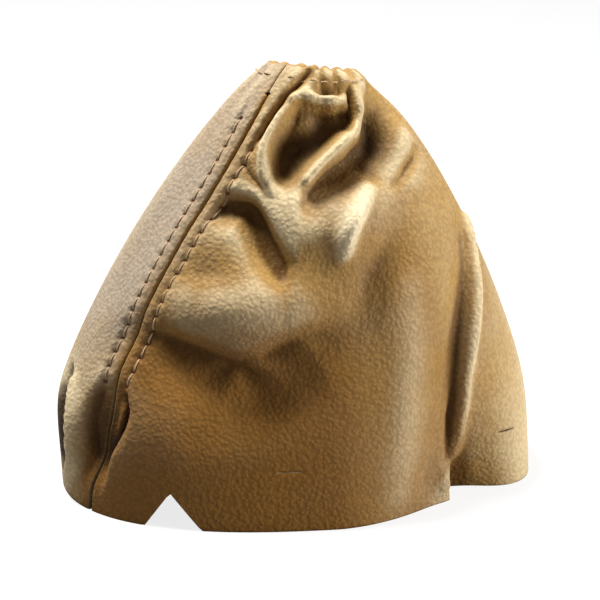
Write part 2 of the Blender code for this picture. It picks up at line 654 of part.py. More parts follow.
def build_closing_thread(collection, tree, material):
    """The hidden thread that closes the seam, in the valley between the two folded edges."""
    top = COVER_HEIGHT - HEM_DEPTH - ALLOWANCE_TRIM - STITCH_LENGTH
    places = []
    for height in seam_stations(STITCH_LENGTH, top, 0.5 * STITCH_LENGTH):
        row, normals = points_from_seam(height, np.array([0.0]))
        start = row[0] - normals[0] * (2 * FOLD_RADIUS + LEATHER)
        places.append(laid_on(tree, start, 0.5 * THREAD + THREAD_GAP))
    thread_object("closing_thread", places, collection, material)


def build_hem_threads(collection, tree, material, under):
    """The stitch line round the collar: a thread on the face and one inside."""
    height = COVER_HEIGHT - 0.55 * HEM_DEPTH
    whole = outline_lengths(height)[1][-1]
    stitches = np.arange(2 * SEAM_EDGE, whole - 2 * SEAM_EDGE, 0.5 * HEM_STITCH_LENGTH)
    row, normals = points_from_seam(height, stitches)
    for name, depth, look in (("hem_needle_thread", -THREAD_START, material),
                              ("hem_bobbin_thread", 2 * HEM_RADIUS + THREAD_START, under)):
        places = [laid_on(tree, point - normal * depth, 0.5 * THREAD + THREAD_GAP)
                  for point, normal in zip(row, normals)]
        thread_object(name, places, collection, look)


def main():
    """Builds the whole cover."""
    for thing in list(bpy.data.objects):
        bpy.data.objects.remove(thing)
    cover = bpy.data.collections.new("handbrake_gaiter")
    cutters = bpy.data.collections.new("cutters")
    bpy.context.scene.collection.children.link(cover)
    bpy.context.scene.collection.children.link(cutters)
    leather = build_leather(cover, cutters)
    build_elastic(cover)
    tree = leather_tree(leather)
    thread = make_material("topstitch thread", (0.46, 0.33, 0.18), 0.6)
    under = make_material("under thread", (0.40, 0.31, 0.20), 0.7)
    build_seam_threads(cover, tree, thread, under)
    build_closing_thread(cover, tree, under)
    build_hem_threads(cover, tree, thread, under)


if __name__ == "__main__":
    main()
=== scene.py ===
"""Handbrake gaiter in pebbled tan leather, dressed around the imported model.

The cover is one leather panel wrapped into a cone. It is closed by one seam with a row of topstitches
on each side, gathered over an elastic at the collar, and cut raw at the foot, with a notch and two slits.
"""

from __future__ import annotations

import logging
import math
from dataclasses import dataclass, field
from enum import Enum
from typing import Callable, Iterable, Mapping, Sequence

import bmesh
import bpy
import numpy as np
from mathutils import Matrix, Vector

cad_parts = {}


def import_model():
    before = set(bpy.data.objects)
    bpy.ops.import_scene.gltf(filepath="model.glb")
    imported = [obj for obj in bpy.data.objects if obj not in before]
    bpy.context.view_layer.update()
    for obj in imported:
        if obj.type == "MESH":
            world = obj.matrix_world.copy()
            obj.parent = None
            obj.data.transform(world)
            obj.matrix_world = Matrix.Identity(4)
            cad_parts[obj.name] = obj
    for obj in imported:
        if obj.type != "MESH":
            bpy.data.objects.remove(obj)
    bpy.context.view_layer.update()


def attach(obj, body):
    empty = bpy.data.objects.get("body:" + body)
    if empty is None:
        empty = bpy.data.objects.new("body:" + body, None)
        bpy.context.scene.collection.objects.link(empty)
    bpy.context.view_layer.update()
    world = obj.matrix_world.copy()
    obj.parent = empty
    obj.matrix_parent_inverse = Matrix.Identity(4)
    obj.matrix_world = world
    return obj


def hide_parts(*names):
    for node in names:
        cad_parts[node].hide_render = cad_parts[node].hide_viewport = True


LOG = logging.getLogger("handbrake_gaiter")
MM = 0.001
BODY = "root"
WHITE = (1.0, 1.0, 1.0, 1.0)


class Slot(Enum):
    """Material slots of the record."""

    LEATHER = "leather"
    ELASTIC = "elastic"
    TOPSTITCH = "topstitch_thread"
    UNDER = "under_thread"


class Side(Enum):
    """Sides of the seam, as the sign of the length from it."""

    RIGHT = 1.0
    LEFT = -1.0


@dataclass(frozen=True)
class Fold:
    """One fold of the leather along a path of (angle in degrees, share of the height), in millimetres.

    It rises out of the surface over a width to each hand of the path. A larger crown is flatter on top,
    lean pushes it towards its right hand, and its tone is painted shade, or a painted highlight below 0.
    """

    name: str
    rise: float
    left: float
    right: float
    path: tuple[tuple[float, float], ...]
    crown: float = 2.0
    lean: float = 0.0
    painted_shading: float = 0.0


FOLDS = (
    Fold("crevice by the strip", -7.0, 2.0, 2.0,
         ((86, 0.990), (75, 0.972), (69, 0.954), (65, 0.928), (62, 0.900), (59, 0.872),
          (56, 0.850)), painted_shading=0.4),
    Fold("ridge by the seam", 6.0, 1.8, 2.6,
         ((77, 0.945), (73, 0.918), (71, 0.893), (69, 0.865), (69, 0.837), (70, 0.805)), lean=1.0),
    Fold("collar ledge", 4.5, 2.2, 2.2, ((85, 0.950), (94, 0.949), (105, 0.947), (114, 0.945))),
    Fold("pocket at the collar", -8.0, 4.5, 2.0,
         ((96, 0.962), (106, 0.963), (115, 0.962)), crown=2.4, painted_shading=0.5),
    Fold("dish", -10.0, 6.5, 8.0,
         ((115, 0.913), (99, 0.881), (87, 0.850), (79, 0.815)), crown=2.4, painted_shading=0.6),
    Fold("dish by the rim", -7.5, 9.0, 2.4,
         ((80, 0.933), (75, 0.905), (73, 0.878), (72, 0.851), (73, 0.825)), crown=2.4, painted_shading=0.3),
    Fold("dish under the collar", -6.0, 8.0, 2.0,
         ((117, 0.935), (103, 0.937), (91, 0.939), (81, 0.939)), crown=2.4),
    Fold("crevice in the hook", -9.0, 1.7, 1.7,
         ((130, 0.971), (127, 0.947), (123, 0.921), (115, 0.893)), painted_shading=0.5),
    Fold("hook", 8.5, 2.1, 1.8,
         ((125, 0.937), (122, 0.917), (116, 0.892), (107, 0.869), (100, 0.849), (94, 0.826),
          (89, 0.798)), crown=2.2, lean=-1.0, painted_shading=-0.45),
    Fold("hollow under the hook", -10.0, 9.0, 3.4,
         ((152, 0.950), (144, 0.927), (135, 0.900), (127, 0.873), (118, 0.851), (110, 0.829), (101, 0.806),
          (95, 0.786), (91, 0.763)), crown=2.4, painted_shading=0.35),
    Fold("shoulder", 5.0, 12.0, 14.0, ((80, 0.700), (94, 0.712), (112, 0.700)), crown=2.4),
    Fold("shoulder strip", 7.0, 3.4, 4.6,
         ((115, 0.767), (109, 0.723), (105, 0.684), (103, 0.640)), painted_shading=-0.8),
    Fold("hollow right of the strip", -1.8, 7.0, 6.0,
         ((131, 0.740), (121, 0.671), (113, 0.594), (108, 0.530))),
    Fold("face right of the hook", -5.0, 8.0, 6.0,
         ((156, 0.915), (144, 0.880), (133, 0.845), (122, 0.815)), crown=2.4, painted_shading=0.6),
    Fold("side ridge", 1.6, 3.2, 3.2, ((158, 0.868), (143, 0.839), (128, 0.808))),
    Fold("side crease", -2.8, 2.4, 2.4, ((160, 0.825), (145, 0.802), (131, 0.770))),
    Fold("facet crease", -2.4, 1.5, 1.5, ((56, 0.824), (63, 0.797), (69, 0.776), (73, 0.755))),
    Fold("strip by the dish", 3.5, 3.0, 3.0, ((66, 0.850), (70, 0.812), (74, 0.776))),
    Fold("wedge", -10.0, 3.6, 8.0,
         ((55, 0.738), (65, 0.735), (71, 0.712), (77, 0.665), (82, 0.615)), crown=2.6),
    Fold("upper belly hollow", -2.5, 6.0, 6.0, ((52, 0.582), (60, 0.582), (69, 0.576))),
    Fold("belly", 7.0, 13.0, 11.0, ((58, 0.525), (71, 0.530), (84, 0.530)), crown=2.6),
    Fold("crease under the belly", -8.5, 6.0, 20.0,
         ((48, 0.440), (56, 0.422), (65, 0.404), (72, 0.386)), crown=2.2),
    Fold("crease right of the belly", -6.5, 6.0, 18.0,
         ((72, 0.386), (79, 0.402), (85, 0.428), (90, 0.452)), crown=2.2),
    Fold("hollow of the flank", -2.0, 10.0, 9.0, ((118, 0.659), (109, 0.553), (101, 0.447))),
    Fold("ridge of the flank", 2.4, 8.0, 9.0, ((122, 0.541), (119, 0.429), (115, 0.294), (112, 0.082))),
    Fold("ridge over the tuck", 4.0, 2.4, 2.6,
         ((173, 0.643), (160, 0.571), (150, 0.496), (141, 0.412), (134, 0.322), (130, 0.224), (127, 0.115),
          (123, 0.045))),
    Fold("valley beside the tuck", -5.0, 3.2, 9.0,
         ((160, 0.602), (147, 0.509), (137, 0.410), (131, 0.302), (126, 0.187), (122, 0.083))),
    Fold("sunk foot of the seam", -6.5, 5.0, 6.0,
         ((38, 0.300), (38, 0.235), (37, 0.179), (35, 0.110)), crown=3.0, painted_shading=0.8),
    Fold("right pucker", -6.5, 1.9, 2.8,
         ((43, 0.303), (45, 0.262), (44, 0.215), (41, 0.168), (37, 0.127)), painted_shading=0.9),
    Fold("left pucker", -4.5, 2.4, 2.6, ((33, 0.295), (32, 0.246), (32, 0.191), (33, 0.141)), painted_shading=0.6),
    Fold("shade of the left end", 0.0, 5.5, 5.5,
         ((5, 0.230), (4, 0.190), (3, 0.140), (4, 0.085), (6, 0.060)), crown=3.0, painted_shading=1.1),
    Fold("left end hollow", -13.0, 3.4, 6.0,
         ((13, 0.275), (13, 0.230), (14, 0.170), (13, 0.110), (12, 0.070)), crown=2.6, painted_shading=1.1),
    Fold("left end ridge", 3.4, 2.6, 2.0,
         ((19, 0.290), (24, 0.240), (26, 0.180), (25, 0.110), (20, 0.050)), lean=1.5, painted_shading=-0.3),
    Fold("belly wave", -2.5, 9.0, 9.0, ((90, 0.330), (78, 0.280), (66, 0.230))),
    Fold("left panel hollow", -2.0, 10.0, 10.0, ((30, 0.860), (26, 0.700), (22, 0.520))),
    Fold("back hollow", -5.0, 14.0, 12.0, ((262, 0.900), (250, 0.740), (244, 0.560))),
    Fold("back ridge", 3.5, 8.0, 10.0, ((288, 0.930), (284, 0.780), (292, 0.560), (300, 0.330))),
    Fold("back side ridge", 3.0, 8.0, 8.0, ((222, 0.900), (216, 0.700), (206, 0.480))),
    Fold("back low wave", -3.0, 12.0, 12.0, ((236, 0.330), (262, 0.270), (288, 0.330))),
    Fold("rear end hollow", -2.5, 9.0, 9.0, ((326, 0.740), (330, 0.520), (338, 0.300))),
)


def smooth(value: np.ndarray) -> np.ndarray:
    """Smooth step from 0 to 1."""
    value = np.clip(value, 0.0, 1.0)
    return value * value * (3.0 - 2.0 * value)


def unit(vectors: np.ndarray) -> np.ndarray:
    """Vectors scaled to length 1."""
    return vectors / np.maximum(np.linalg.norm(vectors, axis=-1, keepdims=True), 1e-12)


def smooth_path(points: Sequence[Sequence[float]], count: int) -> np.ndarray:
    """Runs a smooth curve through a short list of points.

    Args:
        points: The points that it passes.
        count: How many places to take along it.

    Returns:
        The places, one row each.
    """
    route = np.asarray(points, dtype=float)
    padded = np.vstack([2 * route[0] - route[1], route, 2 * route[-1] - route[-2]])
    place = np.linspace(0.0, len(route) - 1.0 - 1e-9, count)
    index = place.astype(int)
    t = (place - index)[:, None]
    a, b, c, d = (padded[index + k] for k in range(4))
    return 0.5 * (2 * b + (c - a) * t + (2 * a - 5 * b + 4 * c - d) * t**2 + (3 * b - a - 3 * c + d) * t**3)


def blurred(values: np.ndarray, reach: int, axis: int) -> np.ndarray:
    """Mean over a span of neighbours along one axis, twice.

    Args:
        values: The values.
        reach: Neighbours to each side.
        axis: The axis.

    Returns:
        The smoothed values.
    """
    for _pass in range(2):
        padded = np.concatenate([np.repeat(np.take(values, [0], axis), reach, axis), values,
                                 np.repeat(np.take(values, [-1], axis), reach, axis)], axis)
        total = np.cumsum(padded, axis=axis)
        total = np.concatenate([np.zeros_like(np.take(total, [0], axis)), total], axis)
        span = 2 * reach + 1
        count = values.shape[axis]
        values = (np.take(total, np.arange(span, span + count), axis)
                  - np.take(total, np.arange(count), axis)) / span
    return values


@dataclass(frozen=True)
class Quilting:
    """Relief beside the topstitches, in millimetres."""

    hole_depth: float = 0.95
    hole_spread: float = 1.3
    row_depth: float = 0.15
    row_width: float = 1.2
    swell: float = 0.14
    swell_between: float = 0.26
    swell_place: float = 3.2
    swell_width: float = 1.5
    beyond: float = 0.34
    beyond_place: float = 1.9
    run_in: float = 2.0
    run_out: float = 3.0

    def relief(self, row: np.ndarray, hole: np.ndarray, from_seam: np.ndarray, stitch: float) -> np.ndarray:
        """Gives the rise of the leather.

        Args:
            row: Distance outward from the stitch row.
            hole: Distance along the row from the nearest hole.
            from_seam: Distance from the seam.
            stitch: Length of a stitch.

        Returns:
            Rise out of the surface.
        """
        drawn = -self.hole_depth * np.exp(-(row**2 + hole**2) / self.hole_spread)
        drawn = drawn - self.row_depth * np.exp(-((row / self.row_width) ** 2))
        between = 0.5 - 0.5 * np.cos(2 * np.pi * hole / stitch)
        swell = self.swell + self.swell_between * between
        swell = swell * np.exp(-(((from_seam - self.swell_place) / self.swell_width) ** 2))
        beyond = self.beyond * np.exp(-((row - self.beyond_place) ** 2) / self.hole_spread) * between
        return drawn + swell + beyond


@dataclass
class CoverForm:
    """The shape of the cover: its outline by height, its folds, the tuck and the gathers.

    Angles in the tables are in degrees from -X by way of the front, beside shares of the height.
    """

    foot_length: float = 192.0 * MM
    foot_width: float = 112.0 * MM
    collar_length: float = 33.0 * MM
    collar_width: float = 19.0 * MM
    height: float = 170.0 * MM
    skirt: float = 36.0 * MM
    collar_shift: float = 7.6 * MM
    collar_tilt: float = 2.2 * MM
    collar_roll: float = 1.6 * MM
    tilt_start: float = 0.7
    foot_shift: float = 1.4 * MM
    skirt_sway: float = 2.0 * MM
    skirt_ease: float = 0.08
    foot_turn: float = 5.0
    squareness: float = 0.35
    dome_start: float = 1.12
    dome_fullness: float = 0.66
    dome_cut: float = 0.96
    front_fullness: float = 0.88
    seam_line: tuple[tuple[float, float], ...] = (
        (0.0, 32.3), (0.08, 34.4), (0.16, 37.0), (0.24, 38.4), (0.32, 38.3), (0.42, 38.7), (0.54, 41.0),
        (0.68, 43.9), (0.82, 49.0), (0.92, 52.2), (1.0, 52.5))
    hem_depth: float = 5.5 * MM
    hem_calm: float = 0.35
    hem_calm_reach: float = 9.0 * MM
    pleats: int = 16
    pleat_height: float = 0.7 * MM
    pleat_reach: float = 40.0 * MM
    pleat_sway: float = 0.012
    pleat_jitter: float = 0.007
    tuck_line: tuple[tuple[float, float], ...] = (
        (0.0, 124.5), (0.10, 124.5), (0.22, 126.5), (0.32, 130.5), (0.42, 136.5), (0.50, 140.5),
        (0.56, 141.0), (0.62, 139.0), (0.70, 133.0), (1.0, 133.0))
    tuck_draw: float = 15.0 * MM
    tuck_step: float = 9.0 * MM
    tuck_overlap: float = 3.0 * MM
    tuck_reach: float = 46.0 * MM
    tuck_edge: float = 2.6 * MM
    tuck_top: float = 0.70
    tuck_open: float = 0.42
    tuck_open_power: float = 1.5
    tuck_fade_power: float = 1.3
    tuck_front_power: float = 1.6
    tuck_slide_width: float = 2.2
    seam_hold: float = 3.4 * MM
    seam_ease: float = 4.5 * MM
    seam_calm: int = 16
    path_samples: int = 64
    path_end: float = 0.55
    hand_blend: float = 0.8
    outline_samples: int = 720
    angle_step: float = 1e-3
    height_step: float = 0.5 * MM
    stitch: float = 6.1 * MM
    stitch_offset: float = 5.75 * MM
    stitch_top: float = 14.6 * MM
    stitch_foot: float = 55.0 * MM
    quilt: Quilting = Quilting()
    # Painted shade along the seam: its strength, the share kept above the foot, its width and the height of
    # the foot.
    seam_painted_shading: float = 0.85
    seam_painted_shading_above: float = 0.25
    seam_painted_shading_width: float = 1.3 * MM
    seam_painted_shading_foot: float = 30.0 * MM
    lines: list[tuple[Fold, np.ndarray, np.ndarray]] = field(default_factory=list)

    def __post_init__(self) -> None:
        """Lays the fold paths and the seam's own length scale on the plain form."""
        self._seam_course = smooth_path(self.seam_line, self.path_samples).T
        for fold in FOLDS:
            route = smooth_path(fold.path, self.path_samples)
            line, normal, _scale = self.frame(np.radians(route[:, 0]), route[:, 1] * self.height)
            right = unit(np.cross(np.gradient(line, axis=0), normal))
            self.lines.append((fold, line, right))
        self._seam_heights = np.linspace(0.0, self.height, self.outline_samples)
        seam = self.plain(self.seam_angle(self._seam_heights), self._seam_heights)
        steps = np.linalg.norm(np.diff(seam, axis=0), axis=1)
        self._seam_lengths = np.concatenate([[0.0], np.cumsum(steps)])
        self._seam_lengths -= np.interp(self.stitch_foot, self._seam_heights, self._seam_lengths)
        point, normal, scale = self.frame(self.seam_angle(self._seam_heights), self._seam_heights)
        shift = self.fold_shift(point, normal, self.seam_angle(self._seam_heights), self._seam_heights, scale)
        self._seam_shift = blurred(shift, self.seam_calm, 0)

    def plain(self, angle: np.ndarray, height: np.ndarray) -> np.ndarray:
        """Gives points of the cover without folds.

        Args:
            angle: Radians from -X by way of the front.
            height: Metres above the floor.

        Returns:
            The points, with X, Y and Z last.
        """
        rise = (height - self.skirt) / (self.height - self.skirt)
        whole = 1.0 + math.hypot(1.0, self.skirt_ease)
        share = np.clip((rise + np.hypot(rise, self.skirt_ease)) / whole, 0.0, 1.0)
        least = (1.0 - self.dome_cut**self.dome_start) ** self.dome_fullness
        dome = (1.0 - (self.dome_cut * share) ** self.dome_start) ** self.dome_fullness
        full = np.clip((dome - least) / (1.0 - least), 0.0, 1.0)
        half_length = 0.5 * (self.collar_length + (self.foot_length - self.collar_length) * full)
        deep = full**self.front_fullness
        half_width = 0.5 * (self.collar_width + (self.foot_width - self.collar_width) * deep)
        power = 2.0 + self.squareness * (1.0 - share)
        polar = np.arctan2(half_width * np.sin(angle), half_length * np.cos(angle))
        radius = (np.abs(np.cos(polar) / half_length) ** power
                  + np.abs(np.sin(polar) / half_width) ** power) ** (-1.0 / power)
        along, across = -radius * np.cos(polar), -radius * np.sin(polar)
        turn = np.radians(self.foot_turn) * (1.0 - share)
        sway = self.skirt_sway * (1.0 - share) * np.clip(height / self.skirt, 0.0, 1.0)
        centre = self.foot_shift - sway + (self.collar_shift - self.foot_shift) * share
        x = centre + along * np.cos(turn) - across * np.sin(turn)
        y = along * np.sin(turn) + across * np.cos(turn)
        upper = smooth((share - self.tilt_start) / (1.0 - self.tilt_start))
        tilt = upper * (self.collar_tilt * np.sin(angle) + self.collar_roll * np.cos(angle))
        return np.stack([x, y, height + tilt], axis=-1)

    def frame(self, angle: np.ndarray, height: np.ndarray) -> tuple[np.ndarray, np.ndarray, np.ndarray]:
        """Point, outward normal and metre-per-radian scale of the form without folds.

        Args:
            angle: Radians from -X by way of the front.
            height: Metres above the floor.

        Returns:
            Points, outward normals, and metres per radian.
        """
        step, rise = self.angle_step, self.height_step
        point = self.plain(angle, height)
        around = self.plain(angle + step, height) - self.plain(angle - step, height)
        below = np.minimum(height, self.height - rise)
        upward = self.plain(angle, below + rise) - self.plain(angle, below)
        return point, unit(np.cross(around, upward)), np.linalg.norm(around, axis=-1) / (2 * step)

    def fold_amount(self, point: np.ndarray, fold: Fold, line: np.ndarray,
                    right: np.ndarray) -> tuple[np.ndarray, np.ndarray]:
        """Gives how strongly a fold acts at each point, and its right hand there.

        Args:
            point: Points of the plain form.
            fold: The fold.
            line: Its path on the plain form.
            right: The right-hand direction along that path.

        Returns:
            Share of the fold's rise, and right-hand directions.
        """
        offset = point[..., None, :] - line
        distance = np.linalg.norm(offset, axis=-1)
        nearest = distance.argmin(axis=-1)
        near = np.take_along_axis(distance, nearest[..., None], -1)[..., 0]
        hand = right[nearest]
        near_offset = np.take_along_axis(offset, nearest[..., None, None], -2)[..., 0, :]
        blend = smooth(0.5 + self.hand_blend * (near_offset * hand).sum(-1) / np.maximum(near, 1e-9))
        width = (fold.left * (1.0 - blend) + fold.right * blend) * MM
        middle = np.sin(np.pi * nearest / (self.path_samples - 1.0))
        taper = self.path_end + (1.0 - self.path_end) * middle
        return np.exp(-((near / width) ** fold.crown)) * taper, hand

    def tuck_shift(self, angle: np.ndarray, height: np.ndarray, scale: np.ndarray) -> np.ndarray:
        """Shift by the tuck, whose line has the front of the skirt over the right side.

        Args:
            angle: Radians from -X by way of the front.
            height: Metres above the floor.
            scale: Metres per radian at each place.

        Returns:
            The shift of each place.
        """
        share = height / self.height
        line_share, line_angle = zip(*self.tuck_line)
        from_line = (angle - np.radians(np.interp(share, line_share, line_angle))) * scale
        left = np.clip(1.0 + from_line / self.tuck_reach, 0.0, 1.0) ** self.tuck_front_power
        right = smooth(1.0 - from_line / self.tuck_reach)
        step = smooth(0.5 + 0.5 * from_line / self.tuck_edge)
        fade = np.clip(1.0 - share / self.tuck_top, 0.0, 1.0)
        low = np.clip(1.0 - share / self.tuck_open, 0.0, 1.0) ** self.tuck_open_power
        draw = self.tuck_draw * fade**self.tuck_fade_power * ((1.0 - step) * left + step * right)
        draw = draw + self.tuck_step * low * step * right
        near = np.exp(-((from_line / (self.tuck_slide_width * self.tuck_edge)) ** 2))
        slide = self.tuck_overlap * low * near * np.where(from_line < 0.0, 1.0, -1.0)
        slide = slide * smooth(np.abs(from_line) / self.tuck_edge)
        return np.stack([slide, draw, 0.0 * draw], axis=-1)

    def fold_shift(self, point: np.ndarray, normal: np.ndarray, angle: np.ndarray, height: np.ndarray,
                   scale: np.ndarray) -> np.ndarray:
        """Shift by the tuck and all folds together.

        Args:
            point: Points of the plain form.
            normal: Its outward normals.
            angle: Radians from -X by way of the front.
            height: Metres above the floor.
            scale: Metres per radian at each place.

        Returns:
            The shift of each place.
        """
        shift = self.tuck_shift(angle, height, scale)
        for fold, line, right in self.lines:
            amount, hand = self.fold_amount(point, fold, line, right)
            shift = shift + (amount * MM)[..., None] * (fold.rise * normal + fold.lean * hand)
        return shift

    def folded(self, angle: np.ndarray, height: np.ndarray,
               share_round: np.ndarray) -> tuple[np.ndarray, np.ndarray]:
        """Gives the middle of the leather with every fold.

        Args:
            angle: Radians from -X by way of the front.
            height: Metres above the floor.
            share_round: Share of the way round from the seam.

        Returns:
            Points, and outward normals of the plain form.
        """
        point, normal, scale = self.frame(angle, height)
        shift = self.fold_shift(point, normal, angle, height, scale)
        turned = (angle - self.seam_angle(height) + np.pi) % (2 * np.pi) - np.pi
        free = smooth((np.abs(turned) * scale - self.seam_hold) / self.seam_ease)[..., None]
        held = np.stack([np.interp(height, self._seam_heights, part) for part in self._seam_shift.T], axis=-1)
        shift = shift * free + held * (1.0 - free)
        above = height - (self.height - self.hem_depth) + self.hem_calm_reach
        calm = 1.0 - self.hem_calm * smooth(above / self.hem_calm_reach)
        reach = smooth((height - (self.height - self.pleat_reach)) / self.pleat_reach)
        phase = share_round + self.pleat_sway * np.sin(4 * np.pi * share_round)
        phase = phase + self.pleat_jitter * np.sin(10 * np.pi * share_round)
        pleat = self.pleat_height * reach * np.cos(2 * np.pi * self.pleats * phase)
        return point + calm[..., None] * shift + pleat[..., None] * free * normal, normal

    def painted_shading(self, angle: np.ndarray, height: np.ndarray) -> np.ndarray:
        """Painted shade in the folds and along the seam (up to 1), and painted highlight on the crests (down
        to -1).

        Args:
            angle: Radians from -X by way of the front.
            height: Metres above the floor.

        Returns:
            The tone of each place.
        """
        point, _normal, _scale = self.frame(angle, height)
        shading_total = np.zeros_like(height)
        for fold, line, right in self.lines:
            if fold.painted_shading != 0.0:
                shading_total = shading_total + fold.painted_shading * self.fold_amount(point, fold, line, right)[0]
        aside = (angle - self.seam_angle(height)) * self.height * 0.5
        foot = 1.0 - smooth((height - self.seam_painted_shading_foot) / self.seam_painted_shading_foot)
        share = self.seam_painted_shading_above + (1.0 - self.seam_painted_shading_above) * foot
        shading_total = shading_total + self.seam_painted_shading * share * np.exp(-(aside / self.seam_painted_shading_width) ** 2)
        return np.clip(shading_total, -1.0, 1.0)

    def seam_angle(self, height: np.ndarray) -> np.ndarray:
        """Angle of the seam at each height: it leans over from the foot to the collar."""
        return np.radians(np.interp(height / self.height, *self._seam_course))

    def seam_length(self, height: np.ndarray) -> np.ndarray:
        """Length along the seam from the lowest stitch hole to each height."""
        return np.interp(height, self._seam_heights, self._seam_lengths)

    def height_at(self, length: np.ndarray) -> np.ndarray:
        """Height at a length along the seam from the lowest stitch hole."""
        return np.interp(length, self._seam_lengths, self._seam_heights)

    def outline(self, height: float) -> tuple[np.ndarray, np.ndarray]:
        """Angles round one row from the seam, and the length round it to each.

        Args:
            height: Metres above the floor.

        Returns:
            Angles in radians, and lengths.
        """
        angles = float(self.seam_angle(height)) + np.linspace(0.0, 2 * np.pi, self.outline_samples + 1)
        points = self.plain(angles, np.full_like(angles, height))
        lengths = np.cumsum(np.linalg.norm(np.diff(points, axis=0), axis=1))
        return angles, np.concatenate([[0.0], lengths])

    def place(self, height: np.ndarray, from_seam: np.ndarray) -> tuple[np.ndarray, np.ndarray]:
        """Turns lengths from the seam into angles.

        Args:
            height: Height of each place.
            from_seam: Length from the seam, negative to its left.

        Returns:
            Angles and shares of the way round.
        """
        angle, share = np.zeros_like(from_seam), np.zeros_like(from_seam)
        for level in np.unique(height):
            here = height == level
            angles, lengths = self.outline(level)
            run = np.where(from_seam[here] < 0.0, from_seam[here] + lengths[-1], from_seam[here])
            angle[here] = np.interp(run, lengths, angles)
            share[here] = run / lengths[-1]
        return angle, share

    def quilting(self, height: np.ndarray, from_seam: np.ndarray) -> np.ndarray:
        """Gives how the stitches draw the leather in and let it swell between them.

        Args:
            height: Metres above the floor.
            from_seam: Metres from the seam, negative to its left.

        Returns:
            Rise out of the surface in metres.
        """
        along = self.seam_length(height)
        top = self.seam_length(self.height - self.stitch_top)
        run_in, run_out = self.quilt.run_in * MM, self.quilt.run_out * MM
        worked = smooth((along + run_in) / run_in) * smooth((top + run_out - along) / run_out)
        row = (np.abs(from_seam) - self.stitch_offset) / MM
        hole = (along - np.round(along / self.stitch) * self.stitch) / MM
        return worked * self.quilt.relief(row, hole, np.abs(from_seam) / MM, self.stitch / MM) * MM

    def sewn(self, height: np.ndarray, from_seam: np.ndarray) -> tuple[np.ndarray, np.ndarray]:
        """Gives the stitched leather beside the seam.

        Args:
            height: Height of each place.
            from_seam: Length from the seam, negative to its left.

        Returns:
            Points on the middle of the leather, and its outward normals with every fold.
        """
        step = 0.4 * MM
        shifts = ((0.0, 0.0), (step, 0.0), (-step, 0.0), (0.0, step), (0.0, -step))
        found = []
        for aside, above in shifts:
            angle, share = self.place(height, from_seam)
            _point, _normal, scale = self.frame(angle, height)
            point, normal = self.folded(angle + aside / scale, height + above, share)
            found.append(point + self.quilting(height + above, from_seam + aside)[..., None] * normal)
        middle, right, left, up, down = found
        return middle, unit(np.cross(right - left, up - down))


def operator(operation: str, swapped: bool = False) -> Callable[..., "Value"]:
    """Makes a method of Value that adds one Math node.

    Args:
        operation: Operation of the node.
        swapped: Whether the other term comes first.

    Returns:
        The method.
    """
    def method(self: "Value", *others: "Value | float") -> "Value":
        """Adds the node for these terms."""
        terms = (*others, self) if swapped else (self, *others)
        return self.shader.node("ShaderNodeMath", {"operation": operation}, dict(enumerate(terms)))

    return method


class Value:
    """A shader socket that takes part in Python arithmetic."""

    __add__ = operator("ADD")
    __radd__ = operator("ADD", swapped=True)
    __sub__ = operator("SUBTRACT")
    __rsub__ = operator("SUBTRACT", swapped=True)
    __mul__ = operator("MULTIPLY")
    __rmul__ = operator("MULTIPLY", swapped=True)
    __truediv__ = operator("DIVIDE")
    __pow__ = operator("POWER")
    absolute = operator("ABSOLUTE")
    sine = operator("SINE")
    most = operator("MAXIMUM")
    to_and_fro = operator("PINGPONG")

    def __init__(self, shader: "Shader", socket: bpy.types.NodeSocket) -> None:
        """Keeps the socket and the shader that it belongs to."""
        self.shader = shader
        self.socket = socket

    def wave(self, length: float) -> "Value":
        """Distance to the nearest whole multiple of a length."""
        return self.to_and_fro(0.5 * length)

    def between(self, low: float, high: float) -> "Value":
        """Smooth step from 0 at one value to 1 at another."""
        return self.shader.node("ShaderNodeMapRange", {"interpolation_type": "SMOOTHSTEP"},
                                {"Value": self, "From Min": low, "From Max": high})


Colour = tuple[float, float, float]


